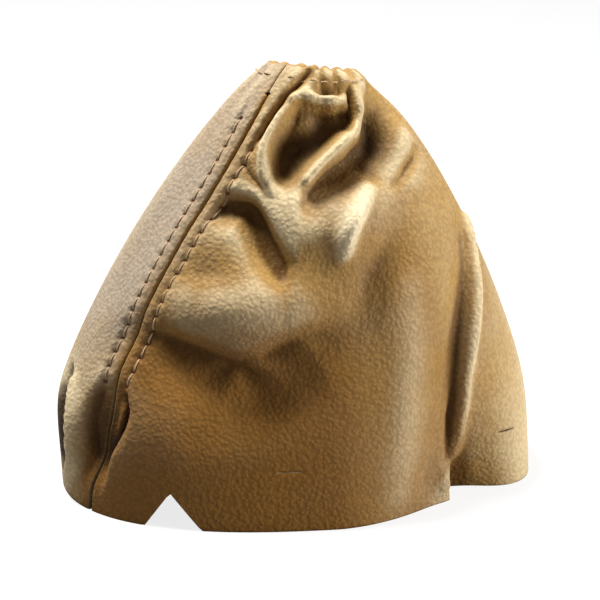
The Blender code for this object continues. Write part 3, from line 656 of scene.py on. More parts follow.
class Shader:
    """A material under construction."""

    def __init__(self, name: str) -> None:
        """Starts an empty material."""
        self.material = bpy.data.materials.new(name)
        self.material.use_nodes = True
        self.tree = self.material.node_tree
        self.tree.nodes.clear()

    def node(self, kind: str, settings: Mapping[str, object] | None = None,
             inputs: Mapping[str | int, object] | None = None, output: str | int = 0) -> Value:
        """Adds one node.

        Args:
            kind: Type of the node.
            settings: Its settings.
            inputs: Values or links of its sockets, by name or number.
            output: The socket wanted from it.

        Returns:
            That output socket.
        """
        made = self.tree.nodes.new(kind)
        for name, value in (settings or {}).items():
            setattr(made, name, value)
        for key, value in (inputs or {}).items():
            if isinstance(value, Value):
                self.tree.links.new(value.socket, made.inputs[key])
            else:
                made.inputs[key].default_value = value
        return Value(self, made.outputs[output])

    def place(self) -> Value:
        """Object coordinates."""
        return self.node("ShaderNodeTexCoord", output="Object")

    def attribute(self, name: str) -> Value:
        """A number stored on the mesh."""
        return self.node("ShaderNodeAttribute", {"attribute_name": name}, output="Fac")

    def moved(self, place: Value, by: Value, amount: float) -> Value:
        """Coordinates pushed about by a noise colour."""
        push = self.node("ShaderNodeVectorMath", {"operation": "MULTIPLY_ADD"},
                         {0: by, 1: (amount,) * 3, 2: (-0.5 * amount,) * 3})
        return self.node("ShaderNodeVectorMath", {"operation": "ADD"}, {0: place, 1: push})

    def noise(self, place: Value, scale: float, detail: float = 2.0, rough: float = 0.5,
              output: str = "Fac") -> Value:
        """Soft noise at a scale per metre."""
        return self.node("ShaderNodeTexNoise", inputs={"Vector": place, "Scale": scale, "Detail": detail,
                                                       "Roughness": rough}, output=output)

    def cells(self, place: Value, scale: float) -> Value:
        """Distance to the middle of the nearest cell, at a scale per metre."""
        return self.node("ShaderNodeTexVoronoi", {"feature": "SMOOTH_F1"}, {"Vector": place, "Scale": scale},
                         "Distance")

    def component(self, vector: Value, axis: int) -> Value:
        """One component of a vector."""
        return self.node("ShaderNodeSeparateXYZ", inputs={0: vector}, output=axis)

    def mix(self, share: Value | float, low: "Value | Colour", high: "Value | Colour",
            blend: str = "MIX") -> Value:
        """Blends two colours.

        Args:
            share: Share of the second colour.
            low: The first colour.
            high: The second colour.
            blend: How they are blended.

        Returns:
            The mixed colour.
        """
        first, second = (c if isinstance(c, Value) else (*c, 1.0) for c in (low, high))
        return self.node("ShaderNodeMix", {"data_type": "RGBA", "blend_type": blend, "clamp_factor": True},
                         {0: share, 6: first, 7: second}, 2)

    def finish(self, colour: Value, roughness: "Value | float", height: Value, depth: float,
               **constants: float) -> bpy.types.Material:
        """Joins the shader to the output.

        Args:
            colour: Base colour.
            roughness: Roughness.
            height: Height of the relief.
            depth: Metres that one unit of height stands for.
            constants: Other sockets of the shader, with _ for a space.

        Returns:
            The finished material.
        """
        inputs: dict[str | int, object] = {"Roughness": roughness, "Base Color": colour}
        inputs.update({name.replace("_", " "): value for name, value in constants.items()})
        inputs["Normal"] = self.node("ShaderNodeBump", inputs={"Height": height, "Distance": depth,
                                                               "Strength": 1.0})
        body = self.node("ShaderNodeBsdfPrincipled", inputs=inputs)
        self.node_output(body)
        return self.material

    def node_output(self, surface: Value) -> None:
        """Links a surface to the material's output."""
        made = self.tree.nodes.new("ShaderNodeOutputMaterial")
        self.tree.links.new(surface.socket, made.inputs["Surface"])


@dataclass(frozen=True)
class PebbledLeather:
    """Grain side of the leather, sizes in metres, noise scales per metre and colours linear."""

    tan: Colour = (0.40, 0.238, 0.075)
    # Pale tone of random patches, and painted light that makes the left side paler and greyer higher up.
    pale_tone_and_painted_light: Colour = (0.40, 0.315, 0.225)
    # Painted shade in the hollows of the folds.
    crease: Colour = (0.10, 0.042, 0.007)
    # Painted highlight on the ridges of the folds.
    ridge_highlight: Colour = (0.76, 0.62, 0.38)
    # Painted shade: browner and darker on the lower front.
    painted_front_shade: Colour = (0.200, 0.082, 0.011)
    # Painted shade in and round the stitch holes.
    hole: Colour = (0.16, 0.055, 0.022)
    # Painted shade in chosen folds, along the seam and on the turned edges.
    painted_shade: Colour = (0.030, 0.014, 0.005)
    # Painted highlight on chosen crests.
    crest_highlight: Colour = (0.90, 0.76, 0.50)
    pebble: float = 1.5 * MM
    relief: float = 0.26 * MM
    drift: float = 1.0 * MM
    drift_scale: float = 400.0
    fine_scale: float = 1500.0
    patch_scale: float = 26.0
    mottle_scale: float = 150.0
    roughness: float = 0.47
    specular: float = 0.12

    def build(self, form: CoverForm) -> bpy.types.Material:
        """Makes the material.

        Args:
            form: The cover, for the places of the stitch holes.

        Returns:
            The material.
        """
        shader = Shader("pebbled tan leather")
        place = shader.place()
        drift = shader.noise(place, self.drift_scale, 1.0, output="Color")
        placed = shader.moved(place, drift, self.drift)
        cell = shader.cells(placed, 1.0 / self.pebble)
        pebble = 1.0 - cell.between(0.10, 0.72)
        fine = shader.noise(place, self.fine_scale, 2.0, 0.6)
        patch = shader.noise(place, self.patch_scale, 3.0, 0.55)
        mottle = shader.noise(place, self.mottle_scale, 2.0, 0.6)
        fold, pale_tone_and_painted_light, painted_shading = (shader.attribute(name) for name in ("fold_relief", "pale_tone_and_painted_light", "painted_shading"))
        # Random pale patches, and painted light on the left side.
        layers = ((patch.between(0.40, 0.75) * 0.35 + pale_tone_and_painted_light * 0.8, self.pale_tone_and_painted_light),
                  # Painted highlight on the ridges of the folds.
                  (fold.between(0.15, 1.0) * 0.7, self.ridge_highlight),
                  # Painted shade on the lower front.
                  (shader.attribute("painted_front_shade") * 0.85, self.painted_front_shade),
                  # Painted shade in the hollows of the folds.
                  ((0.0 - fold).between(0.05, 0.95) * 0.85, self.crease),
                  # Painted shade in chosen folds, along the seam and on the turned edges.
                  (painted_shading.between(0.0, 1.0) * 0.92, self.painted_shade),
                  # Painted highlight on chosen crests.
                  ((0.0 - painted_shading).between(0.0, 1.0) * 0.85, self.crest_highlight))
        colour = self.tan
        for share, tint in layers:
            colour = shader.mix(share, colour, tint)
        tone = 0.84 + 0.22 * pebble + 0.16 * (mottle - 0.5) + 0.22 * (fine - 0.5)
        colour = self._shade(shader, colour, tone)
        ring = self._hole_distance(shader, form)
        # Painted shade in and round each stitch hole.
        hole = 1.0 - ring.between(0.50, 1.30)
        colour = shader.mix(hole * 0.9, colour, self.hole)
        height = pebble * 0.80 + fine * 0.22 + mottle * 0.10 - hole * 1.5
        roughness = self.roughness + 0.14 * (1.0 - pebble) + 0.12 * (mottle - 0.5)
        return shader.finish(colour, roughness, height, self.relief, Specular_IOR_Level=self.specular)

    @staticmethod
    def _shade(shader: Shader, colour: Value, tone: Value) -> Value:
        """Multiplies a colour by a number that changes over the surface."""
        grey = shader.node("ShaderNodeCombineColor", inputs={0: tone, 1: tone, 2: tone})
        return shader.mix(1.0, colour, grey, "MULTIPLY")

    @staticmethod
    def _hole_distance(shader: Shader, form: CoverForm) -> Value:
        """Distance in mm to the nearest stitch hole.

        Args:
            shader: The material, whose map holds mm from the seam and mm along it.
            form: The cover, for the places of the holes.

        Returns:
            The distance.
        """
        cut = shader.node("ShaderNodeUVMap", {"uv_map": "seam"})
        along = shader.component(cut, 1)
        row = shader.component(cut, 0).absolute() - form.stitch_offset / MM
        hole = along.wave(form.stitch / MM)
        ring = (row * row + hole * hole) ** 0.5
        top = float(form.seam_length(form.height - form.stitch_top)) / MM
        outside = (0.0 - along - 1.0).most(along - top - 1.0).most(0.0)
        return ring + outside * 4.0


@dataclass(frozen=True)
class SuedeBack:
    """Flesh side of the leather."""

    light: Colour = (0.46, 0.36, 0.25)
    dark: Colour = (0.33, 0.25, 0.165)
    roughness: float = 0.92

    def build(self) -> bpy.types.Material:
        """Makes the material."""
        shader = Shader("suede back")
        place = shader.place()
        nap = shader.noise(place, 1800.0, 3.0, 0.7)
        cloud = shader.noise(place, 60.0, 3.0, 0.6)
        colour = shader.mix(nap * 0.6 + cloud * 0.5 - 0.1, self.dark, self.light)
        return shader.finish(colour, self.roughness, nap, 0.12 * MM)


@dataclass(frozen=True)
class RawEdge:
    """Cut edge of the leather, fibrous and paler than its face."""

    core: Colour = (0.50, 0.38, 0.24)
    fibre: Colour = (0.30, 0.20, 0.11)

    def build(self) -> bpy.types.Material:
        """Makes the material."""
        shader = Shader("raw leather edge")
        place = shader.place()
        fibre = shader.noise(place, 2400.0, 3.0, 0.7)
        colour = shader.mix(fibre.between(0.3, 0.75), self.core, self.fibre)
        return shader.finish(colour, 0.85, fibre, 0.1 * MM)


@dataclass(frozen=True)
class TwistedThread:
    """Sewing thread with its twist along the length."""

    name: str
    light: Colour
    dark: Colour
    pitch: float = 1.1 * MM
    roughness: float = 0.75

    def build(self) -> bpy.types.Material:
        """Makes the material."""
        shader = Shader(self.name)
        cut = shader.node("ShaderNodeUVMap", {"uv_map": "thread"})
        turn = shader.component(cut, 0) * 2.0 + shader.component(cut, 1) / (self.pitch / MM)
        ply = (turn * (2.0 * math.pi)).sine()
        fuzz = shader.noise(shader.place(), 4000.0, 2.0, 0.6)
        colour = shader.mix(ply * 0.35 + 0.35 + fuzz * 0.3, self.dark, self.light)
        return shader.finish(colour, self.roughness, ply + fuzz * 0.5, 0.06 * MM, Specular_IOR_Level=0.15)


@dataclass(frozen=True)
class WovenElastic:
    """Flat woven elastic with ribs across it."""

    light: Colour = (0.74, 0.70, 0.62)
    dark: Colour = (0.45, 0.41, 0.34)
    rib: float = 0.8 * MM

    def build(self) -> bpy.types.Material:
        """Makes the material."""
        shader = Shader("woven elastic")
        place = shader.place()
        rib = (shader.component(place, 2) * (2.0 * math.pi / self.rib)).sine()
        yarn = shader.noise(place, 2600.0, 2.0, 0.6)
        colour = shader.mix(rib * 0.3 + 0.3 + yarn * 0.4, self.dark, self.light)
        return shader.finish(colour, 0.85, rib + yarn, 0.08 * MM)


def settle(piece: bpy.types.Object, replaced: Iterable[str]) -> bpy.types.Object:
    """Puts a finished piece on its body and hides the CAD nodes that it stands for.

    Args:
        piece: The piece.
        replaced: CAD nodes that it stands for.

    Returns:
        The piece.
    """
    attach(piece, BODY)
    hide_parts(*replaced)
    LOG.info("%s: %d faces", piece.name, len(piece.data.polygons))
    return piece


def apply_modifiers(piece: bpy.types.Object) -> None:
    """Applies every modifier of a piece, in order.

    Args:
        piece: The piece.
    """
    bpy.ops.object.select_all(action="DESELECT")
    piece.select_set(True)
    bpy.context.view_layer.objects.active = piece
    for modifier in list(piece.modifiers):
        bpy.ops.object.modifier_apply(modifier=modifier.name)


def grid_piece(name: str, points: np.ndarray) -> bpy.types.Object:
    """Adds a grid and moves it onto rows and columns of points.

    Args:
        name: Name of the piece.
        points: The points, as rows, columns and X, Y, Z.

    Returns:
        The grid object, with its vertices in row order.
    """
    rows, columns = points.shape[:2]
    bpy.ops.object.select_all(action="DESELECT")
    bpy.ops.mesh.primitive_grid_add(x_subdivisions=columns - 1, y_subdivisions=rows - 1, size=2.0)
    piece = bpy.context.object
    piece.name = piece.data.name = name
    piece.data.vertices.foreach_set("co", points.reshape(-1).astype(np.float32))
    piece.data.update()
    return piece


def set_uv(mesh: bpy.types.Mesh, name: str, per_vertex: np.ndarray) -> None:
    """Gives a mesh a UV map.

    Args:
        mesh: The mesh.
        name: Name of the map.
        per_vertex: One pair of numbers for each vertex.
    """
    for layer in list(mesh.uv_layers):
        mesh.uv_layers.remove(layer)
    layer = mesh.uv_layers.new(name=name)
    corner = np.zeros(len(mesh.loops), dtype=int)
    mesh.loops.foreach_get("vertex_index", corner)
    layer.data.foreach_set("uv", per_vertex[corner].reshape(-1).astype(np.float32))


def set_number(mesh: bpy.types.Mesh, name: str, per_vertex: np.ndarray) -> None:
    """Stores one number per vertex on a mesh."""
    stored = mesh.attributes.new(name, "FLOAT", "POINT")
    stored.data.foreach_set("value", per_vertex.reshape(-1).astype(np.float32))


@dataclass(frozen=True)
class Patch:
    """A part of the leather with painted shade: levels in metres, sides in degrees, each with the length of
    its fade.
    """

    share: float
    level: float
    level_fade: float
    start: float
    start_fade: float
    end: float
    end_fade: float

    def amount(self, level: np.ndarray, degrees: np.ndarray) -> np.ndarray:
        """Strength of the tone at each place."""
        low = self.share * (1.0 - smooth((level - self.level) / self.level_fade))
        inside = smooth((degrees - self.start) / self.start_fade)
        return low * inside * (1.0 - smooth((degrees - self.end) / self.end_fade))


# Painted shade on the lower front, reaching higher on the right of the front.
PAINTED_FRONT_SHADE = (
    Patch(1.0, 54.0 * MM, 64.0 * MM, 34.0, 5.0, 96.0, 24.0),
    Patch(1.0, 46.0 * MM, 12.0 * MM, 24.0, 8.0, 96.0, 24.0),
    Patch(0.45, 100.0 * MM, 30.0 * MM, 92.0, 14.0, 126.0, 12.0),
)


@dataclass
class LeatherPanel:
    """The sewn leather panel with its turned allowances, hem, notch and slits."""

    form: CoverForm
    thickness: float = 1.0 * MM
    fold_gap: float = 0.6 * MM
    seam_gap: float = 0.5 * MM
    allowance: float = 8.0 * MM
    allowance_trim: float = 3.0 * MM
    elastic: float = 0.8 * MM
    elastic_clearance: float = 0.75 * MM
    rows: int = 192
    row_crowding: float = 0.10
    columns_near_seam: int = 12
    near_seam: float = 1.5 * MM
    columns: int = 196
    spacing: tuple[tuple[float, float], ...] = (
        (0.0, 1.0), (0.38, 1.0), (0.50, 3.2), (0.86, 3.2), (0.92, 0.9), (1.0, 0.8))
    notch_width: float = 23.0 * MM
    notch_height: float = 15.5 * MM
    notch_angle: float = 58.5
    notch_reach: float = 45.0 * MM
    notch_step: float = 0.1
    notch_level: float = 0.3
    notch_zone: float = 0.6
    slit_height: float = 25.5 * MM
    slit_width: float = 12.0 * MM
    slit_openings: tuple[float, float] = (0.35 * MM, 0.75 * MM)
    slit_angles: tuple[float, float] = (86.5, 146.0)
    slit_tip: float = 0.06
    off_map: float = 99.0
    turn_steps: tuple[float, ...] = (30.0, 60.0, 90.0, 120.0, 150.0)
    # Painted light on the left side of the seam, paler and greyer higher up.
    painted_light_start: float = 20.0 * MM
    painted_light_reach: float = 110.0 * MM
    painted_light_fade: float = 30.0 * MM
    painted_light_level: float = 90.0 * MM
    surroundings: tuple[tuple[int, int, float], ...] = ((6, 4, 2.5 * MM), (15, 10, 9.0 * MM))
    # Painted shade on the turned edges in the seam, strongest at the foot.
    edge_painted_shade: float = 0.15
    foot_painted_shade: float = 0.5
    painted_shade_level: float = 30.0 * MM
    painted_shade_fade: float = 40.0 * MM

    def __post_init__(self) -> None:
        """Works out the radii of the folded edges."""
        self.fold_radius = 0.5 * (self.thickness + self.fold_gap)
        self.hem_radius = 0.5 * (self.thickness + self.elastic) + self.elastic_clearance
        self.seam_edge = 0.5 * self.seam_gap + self.fold_radius + 0.5 * self.thickness

    def _heights(self) -> np.ndarray:
        """Heights of the rows, a little closer towards the collar and with a pair round the slits.

        Returns:
            Heights in metres.
        """
        share = np.linspace(0.0, 1.0, self.rows)
        heights = self.form.height * ((1.0 + self.row_crowding) * share - self.row_crowding * share**2)
        low = int(np.searchsorted(heights, self.slit_height)) - 1
        middle = 0.5 * (heights[low] + heights[low + 1])
        stretch = self.slit_height / middle
        return heights * np.interp(heights, [0.0, middle, self.form.height], [stretch, stretch, 1.0])

    def _shares(self) -> np.ndarray:
        """Shares of the way between the two allowances, closest where the folds are sharpest.

        Returns:
            One share for each column.
        """
        share = np.linspace(0.0, 1.0, self.form.outline_samples)
        crowding = np.cumsum(1.0 / np.interp(share, *zip(*self.spacing)))
        crowding = (crowding - crowding[0]) / (crowding[-1] - crowding[0])
        return np.interp(np.linspace(0.0, 1.0, self.columns + 2), crowding, share)[1:-1]

    def _lengths(self, whole: float, hemmed: bool) -> np.ndarray:
        """Lengths from the seam of all columns of one row.

        Args:
            whole: Length round the row.
            hemmed: Whether the row is in the hem, where the edges meet.

        Returns:
            The lengths.
        """
        side = np.linspace(self.seam_edge, self.allowance + self.near_seam, self.columns_near_seam)
        if hemmed:
            side = side + (0.5 * self.seam_gap - self.seam_edge) * np.linspace(1.0, 0.0, len(side)) ** 3
        between = side[-1] + self._shares() * (whole - 2 * side[-1])
        return np.concatenate([side, between, (whole - side)[::-1]])

    def _sheet(self) -> dict[str, np.ndarray]:
        """Works out the outer layer.

        Returns:
            Heights of the rows, and for the grid: lengths from the seam, lengths along it, points, folded
            and plain normals, the slit's number at each vertex below a slit, angles and painted shade and
            highlight.
        """
        form = self.form
        levels = self._heights()
        trim = form.height - form.hem_depth - self.allowance_trim
        lengths, angles, shares = [], [], []
        for level in levels:
            around, run = form.outline(level)
            here = self._lengths(run[-1], level >= trim)
            lengths.append(np.where(here > 0.5 * run[-1], here - run[-1], here))
            angles.append(np.interp(here, run, around))
            shares.append(here / run[-1])
        lengths, angles, shares = np.array(lengths), np.array(angles), np.array(shares)
        heights = np.repeat(levels[:, None], lengths.shape[1], axis=1)
        heights = self._notched(angles, heights)
        heights, slits = self._slit(angles, heights)
        point, plain = form.folded(angles, heights, shares)
        point = point + form.quilting(heights, lengths)[..., None] * plain
        folded = unit(np.cross(np.gradient(point, axis=1), np.gradient(point, axis=0)))
        return {"levels": levels, "aside": lengths, "along": form.seam_length(heights), "points": point,
                "folded": folded, "plain": plain, "slits": slits, "angles": angles,
                "painted_shading": form.painted_shading(angles, heights)}

    def _notched(self, angles: np.ndarray, heights: np.ndarray) -> np.ndarray:
        """Raises the lowest rows to the sides of the notch.

        Args:
            angles: Angle of each vertex.
            heights: Height of each vertex.

        Returns:
            The changed heights.
        """
        foot = self.form.folded(angles[0], heights[0], 0.0 * angles[0])[0]
        at = np.radians(self.notch_angle + self.notch_step * np.array([-1.0, 0.0, 1.0]))
        ends = self.form.folded(at, np.full(3, self.notch_level * self.notch_height), np.zeros(3))[0]
        sideways = unit((ends[2] - ends[0]) * np.array([1.0, 1.0, 0.0]))
        aside = (foot - ends[1]) @ sideways
        edge = self.notch_height * np.clip(1.0 - np.abs(aside) / (0.5 * self.notch_width), 0.0, 1.0)
        edge = np.where(np.abs(angles[0] - at[1]) < self.notch_zone, edge, 0.0)
        fade = np.clip(1.0 - heights / self.notch_reach, 0.0, 1.0)
        return heights + edge[None, :] * fade

    def _slit(self, angles: np.ndarray, heights: np.ndarray) -> tuple[np.ndarray, np.ndarray]:
        """Parts two rows along each slit.

        Args:
            angles: Angle of each vertex.
            heights: Height of each vertex.

        Returns:
            The changed heights, and the slit's number at each vertex of the row below it.
        """
        slits = np.zeros(heights.shape, dtype=int)
        low = int(np.abs(0.5 * (heights[:-1, 0] + heights[1:, 0]) - self.slit_height).argmin())
        place = self.form.plain(angles[low], heights[low])
        for number, (middle, opening) in enumerate(zip(self.slit_angles, self.slit_openings), start=1):
            centre = self.form.plain(np.radians(middle), np.asarray(self.slit_height))
            aside = np.linalg.norm(place - centre, axis=-1) / (0.5 * self.slit_width)
            inside = aside < 1.0
            width = opening * np.sqrt(np.clip(1.0 - aside[inside] ** 2, self.slit_tip, 1.0))
            heights[low, inside] = self.slit_height - 0.5 * width
            heights[low + 1, inside] = self.slit_height + 0.5 * width
            slits[low, inside] = number
        return heights, slits

    def _allowance(self, points: np.ndarray, normals: np.ndarray, count: int) -> np.ndarray:
        """Columns of one allowance: round the folded edge, then flat behind the outer layer.

        Args:
            points: The outer layer, from the seam.
            normals: Its normals.
            count: Columns of the flat part.

        Returns:
            The new columns, outward from the seam edge.
        """
        outward = unit(points[:, 0] - points[:, 1])
        columns = []
        for degrees in self.turn_steps:
            reach = self.fold_radius * math.sin(math.radians(degrees))
            drop = self.fold_radius * (1.0 - math.cos(math.radians(degrees)))
            columns.append(points[:, 0] + outward * reach - normals[:, 0] * drop)
        for index in range(count):
            columns.append(points[:, index] - normals[:, index] * 2 * self.fold_radius)
        return np.stack(columns, axis=1)

    def _hem(self, sheet: dict[str, np.ndarray]) -> np.ndarray:
        """Rows of the hem: over the top edge and down inside it.

        Args:
            sheet: The outer layer.

        Returns:
            The new rows, in order.
        """
        points, normals, levels = sheet["points"], sheet["plain"], sheet["levels"]
        upward = unit(points[-1] - points[-2])
        rows = []
        for degrees in self.turn_steps:
            reach = self.hem_radius * math.sin(math.radians(degrees))
            drop = self.hem_radius * (1.0 - math.cos(math.radians(degrees)))
            rows.append(points[-1] + upward * reach - normals[-1] * drop)
        for index in np.nonzero(levels >= self.form.height - self.form.hem_depth)[0][::-1]:
            rows.append(points[index] - normals[index] * 2 * self.hem_radius)
        return np.array(rows)

    def _relief(self, points: np.ndarray, normals: np.ndarray) -> np.ndarray:
        """How far each place stands out of its surroundings: ridges above 0, hollows below.

        Args:
            points: The outer layer.
            normals: Its normals.

        Returns:
            The relief, about 1 on a sharp ridge.
        """
        total = np.zeros(points.shape[:2])
        for rows, columns, rise in self.surroundings:
            mean = blurred(blurred(points, rows, 0), columns, 1)
            total = total + ((points - mean) * normals).sum(-1) / rise
        return total

    @staticmethod
    def _painted_front_shade(points: np.ndarray, angles: np.ndarray) -> np.ndarray:
        """Share of the painted shade that darkens the lower front."""
        degrees = np.degrees(angles) % 360.0
        return np.maximum.reduce([patch.amount(points[..., 2], degrees) for patch in PAINTED_FRONT_SHADE])

    def _painted_side_light(self, points: np.ndarray, aside: np.ndarray) -> np.ndarray:
        """Share of the painted light that makes the left side paler and greyer; it fades away from the seam
        and at the foot.

        Args:
            points: The outer layer.
            aside: Lengths from the seam.

        Returns:
            The share.
        """
        left = smooth(0.5 - aside / self.painted_light_start) * smooth((aside + self.painted_light_reach) / self.painted_light_fade)
        return left * smooth(points[..., 2] / self.painted_light_level)

    def _seam_painted_shade(self, points: np.ndarray) -> np.ndarray:
        """Painted shade on the turned edges in the seam, strongest at the foot."""
        foot = 1.0 - smooth((points[..., 2] - self.painted_shade_level) / self.painted_shade_fade)
        return self.edge_painted_shade + self.foot_painted_shade * foot

    def build(self) -> bpy.types.Object:
        """Builds the panel.

        Returns:
            The finished piece.
        """
        sheet = self._sheet()
        outer, folded, aside = sheet["points"], sheet["folded"], sheet["aside"]
        near = int((aside[0, :self.columns_near_seam] < self.allowance).sum())
        hem = self._hem(sheet)
        first = self._allowance(outer, folded, near)[:, ::-1]
        last = self._allowance(outer[:, ::-1], folded[:, ::-1], near)
        side, (rows, columns) = first.shape[1], outer.shape[:2]
        shape = (rows + len(hem), columns + 2 * side)
        face = (slice(0, rows), slice(side, side + columns))

        def spread(values: np.ndarray, around: np.ndarray | float = 0.0) -> np.ndarray:
            """Values of the outer layer on the whole grid, with others on the turned parts.

            Args:
                values: Values of the outer layer.
                around: Values of the other vertices.

            Returns:
                The whole grid.
            """
            whole = np.zeros(shape + np.shape(values)[2:], dtype=values.dtype)
            whole[:] = around
            whole[face] = values
            return whole

        points = spread(outer)
        points[rows:, side:side + columns] = hem
        points[:rows, :side] = first
        points[:rows, side + columns:] = last
        kept = np.zeros(shape, dtype=bool)
        kept[:, side:side + columns] = True
        trim = self.form.height - self.form.hem_depth - self.allowance_trim
        kept[:rows][sheet["levels"] < trim] = True
        # Painted shade on the turned edges in the seam; none on the hem.
        edges = self._seam_painted_shade(points)
        edges[rows:] = 0.0
        piece = grid_piece("leather_cover", points)
        seam_map = spread(np.stack([aside, sheet["along"]], axis=-1) / MM, self.off_map)
        set_uv(piece.data, "seam", seam_map.reshape(-1, 2))
        # Relief of the folds, which places the painted highlight on ridges and the painted shade in hollows.
        set_number(piece.data, "fold_relief", spread(self._relief(outer, folded)))
        set_number(piece.data, "pale_tone_and_painted_light", spread(self._painted_side_light(outer, aside)))
        set_number(piece.data, "painted_front_shade", spread(self._painted_front_shade(outer, sheet["angles"])))
        # Painted shade and painted highlight of the folds and seam, with painted shade on the turned edges.
        set_number(piece.data, "painted_shading", spread(sheet["painted_shading"], edges))
        slits = spread(sheet["slits"])
        self._cut_away(piece.data, kept.reshape(-1), slits.reshape(-1))
        for material in (PebbledLeather().build(self.form), SuedeBack().build(), RawEdge().build()):
            piece.data.materials.append(material)
        piece.data.shade_smooth()
        wall = piece.modifiers.new("wall", "SOLIDIFY")
        wall.thickness = self.thickness
        wall.offset = 0.0
        wall.material_offset = 1
        wall.material_offset_rim = 2
        apply_modifiers(piece)
        self._stand(piece.data)
        settle(piece, ("leather_panel",))
        self._declare()
        return piece

    @staticmethod
    def _cut_away(mesh: bpy.types.Mesh, kept: np.ndarray, slits: np.ndarray) -> None:
        """Deletes what isn't leather and opens the slits.

        Args:
            mesh: The grid.
            kept: Which vertices are leather.
            slits: Number of the slit at each vertex.
        """
        work = bmesh.new()
        work.from_mesh(mesh)
        work.verts.ensure_lookup_table()
        gone = []
        for face in work.faces:
            index = [vertex.index for vertex in face.verts]
            low = min(index)
            if slits[low] > 0 and slits[low] == slits[low + 1] and (slits[index] > 0).sum() == 2:
                gone.append(face)
        bmesh.ops.delete(work, geom=gone, context="FACES_ONLY")
        bmesh.ops.delete(work, geom=[v for v in work.verts if not kept[v.index]], context="VERTS")
        work.to_mesh(mesh)
        work.free()

    @staticmethod
    def _stand(mesh: bpy.types.Mesh) -> None:
        """Keeps the cut edge on the floor.

        Args:
            mesh: The finished panel.
        """
        places = np.zeros(len(mesh.vertices) * 3, np.float32)
        mesh.vertices.foreach_get("co", places)
        places = places.reshape(-1, 3)
        places[:, 2] = np.maximum(places[:, 2], 0.0)
        mesh.vertices.foreach_set("co", places.reshape(-1))
        mesh.update()

    @staticmethod
    def _one_side(mesh: bpy.types.Mesh) -> float:
        """Area of the grain side."""
        return sum(face.area for face in mesh.polygons if face.material_index == 0)

    def _declare(self) -> None:
        around = float(self.form.outline(0.0)[1][-1]) + 2 * self.allowance


def tube(name: str, route: np.ndarray, radius: float, sides: int,
         material: bpy.types.Material) -> bpy.types.Object:
    """Makes a round thread along a route.

    Args:
        name: Name of the piece.
        route: Places along its middle.
        radius: Its radius.
        sides: Corners of its outline.
        material: Its material.

    Returns:
        The thread, with its thread map of (share round, mm along).
    """
    ahead = np.roll(route, -1, axis=0) - np.roll(route, 1, axis=0)
    ahead[0], ahead[-1] = route[1] - route[0], route[-1] - route[-2]
    ahead = unit(ahead)
    across = np.zeros_like(route)
    side = np.cross(ahead[0], (0.3, 0.5, 0.8))
    for index, direction in enumerate(ahead):
        side = side - direction * (side @ direction)
        side = side / np.linalg.norm(side)
        across[index] = side
    third = np.cross(ahead, across)
    turn = np.linspace(0.0, 2 * np.pi, sides + 1)
    ring = np.cos(turn)[None, :, None] * across[:, None] + np.sin(turn)[None, :, None] * third[:, None]
    points = route[:, None] + radius * ring
    piece = grid_piece(name, points)
    steps = np.linalg.norm(np.diff(points[:, 0], axis=0), axis=1)
    along = np.concatenate([[0.0], np.cumsum(steps)]) / MM
    uv = np.stack(np.broadcast_arrays(np.linspace(0.0, 1.0, sides + 1)[None, :], along[:, None]), axis=-1)
    set_uv(piece.data, "thread", uv.reshape(-1, 2))
    work = bmesh.new()
    work.from_mesh(piece.data)
    bmesh.ops.remove_doubles(work, verts=work.verts, dist=0.001 * MM)
    bmesh.ops.holes_fill(work, edges=[e for e in work.edges if e.is_boundary], sides=sides + 1)
    bmesh.ops.recalc_face_normals(work, faces=work.faces)
    work.to_mesh(piece.data)
    work.free()
    piece.data.materials.append(material)
    piece.data.shade_smooth()
    return piece


@dataclass
class SeamStitching:
    """Topstitching on both sides of the seam, and the hidden thread that closes it."""

    form: CoverForm
    panel: LeatherPanel
    thread: float = 0.66 * MM
    sides: int = 8
    profile: tuple[tuple[float, float], ...] = (
        (0.0, -1.30), (0.07, -0.70), (0.16, 0.02), (0.30, 0.22), (0.50, 0.30), (0.70, 0.22), (0.84, 0.02),
        (0.93, -0.70))
    zigzag: float = 0.35 * MM

    def _route(self, side: Side, lift: float, flip: float) -> np.ndarray:
        """Places of one thread, up out of each hole and down into the next.

        Args:
            side: Side of the seam.
            lift: Height in metres of the surface over the middle of the outer leather.
            flip: 1 on the face and -1 behind.

        Returns:
            The places.
        """
        top = float(self.form.seam_length(self.form.height - self.form.stitch_top))
        count = int(top / self.form.stitch)
        along, rise = [], []
        for number in range(count):
            for share, height in self.profile:
                along.append((number + share) * self.form.stitch)
                rise.append(height)
        along.append(count * self.form.stitch)
        rise.append(self.profile[0][1])
        heights = self.form.height_at(np.array(along))
        aside = np.full(len(along), side.value * self.form.stitch_offset)
        point, normal = self.form.sewn(heights, aside)
        return point + normal * (flip * (np.array(rise) * MM) + lift)[:, None]

    def build(self, face: bpy.types.Material, under: bpy.types.Material) -> None:
        """Builds the five threads of the seam.

        Args:
            face: Material of the needle threads.
            under: Material of the threads behind.
        """
        half = 0.5 * self.panel.thickness
        back = -(2 * self.panel.fold_radius + half)
        layers = (("needle", half, 1.0, face, Slot.TOPSTITCH), ("bobbin", back, -1.0, under, Slot.UNDER))
        for side in Side:
            for kind, lift, flip, material, slot in layers:
                name = f"{kind}_thread_{side.name.lower()}"
                route = self._route(side, lift, flip)
                piece = tube(name, route, 0.5 * self.thread, self.sides, material)
                settle(piece, (f"topstitch_{name}",))
        top = float(self.form.seam_length(self.form.height - self.form.stitch_top))
        first = float(self.form.seam_length(self.form.stitch))
        along = np.arange(first, top, 0.5 * self.form.stitch)
        point, normal = self.form.sewn(self.form.height_at(along), np.zeros(len(along)))
        depth = 2 * self.panel.fold_radius + self.zigzag * np.cos(np.pi * np.arange(len(along)))
        route = point - normal * depth[:, None]
        piece = tube("closing_stitches", route, 0.5 * self.thread, self.sides, under)
        settle(piece, ("closing_thread",))


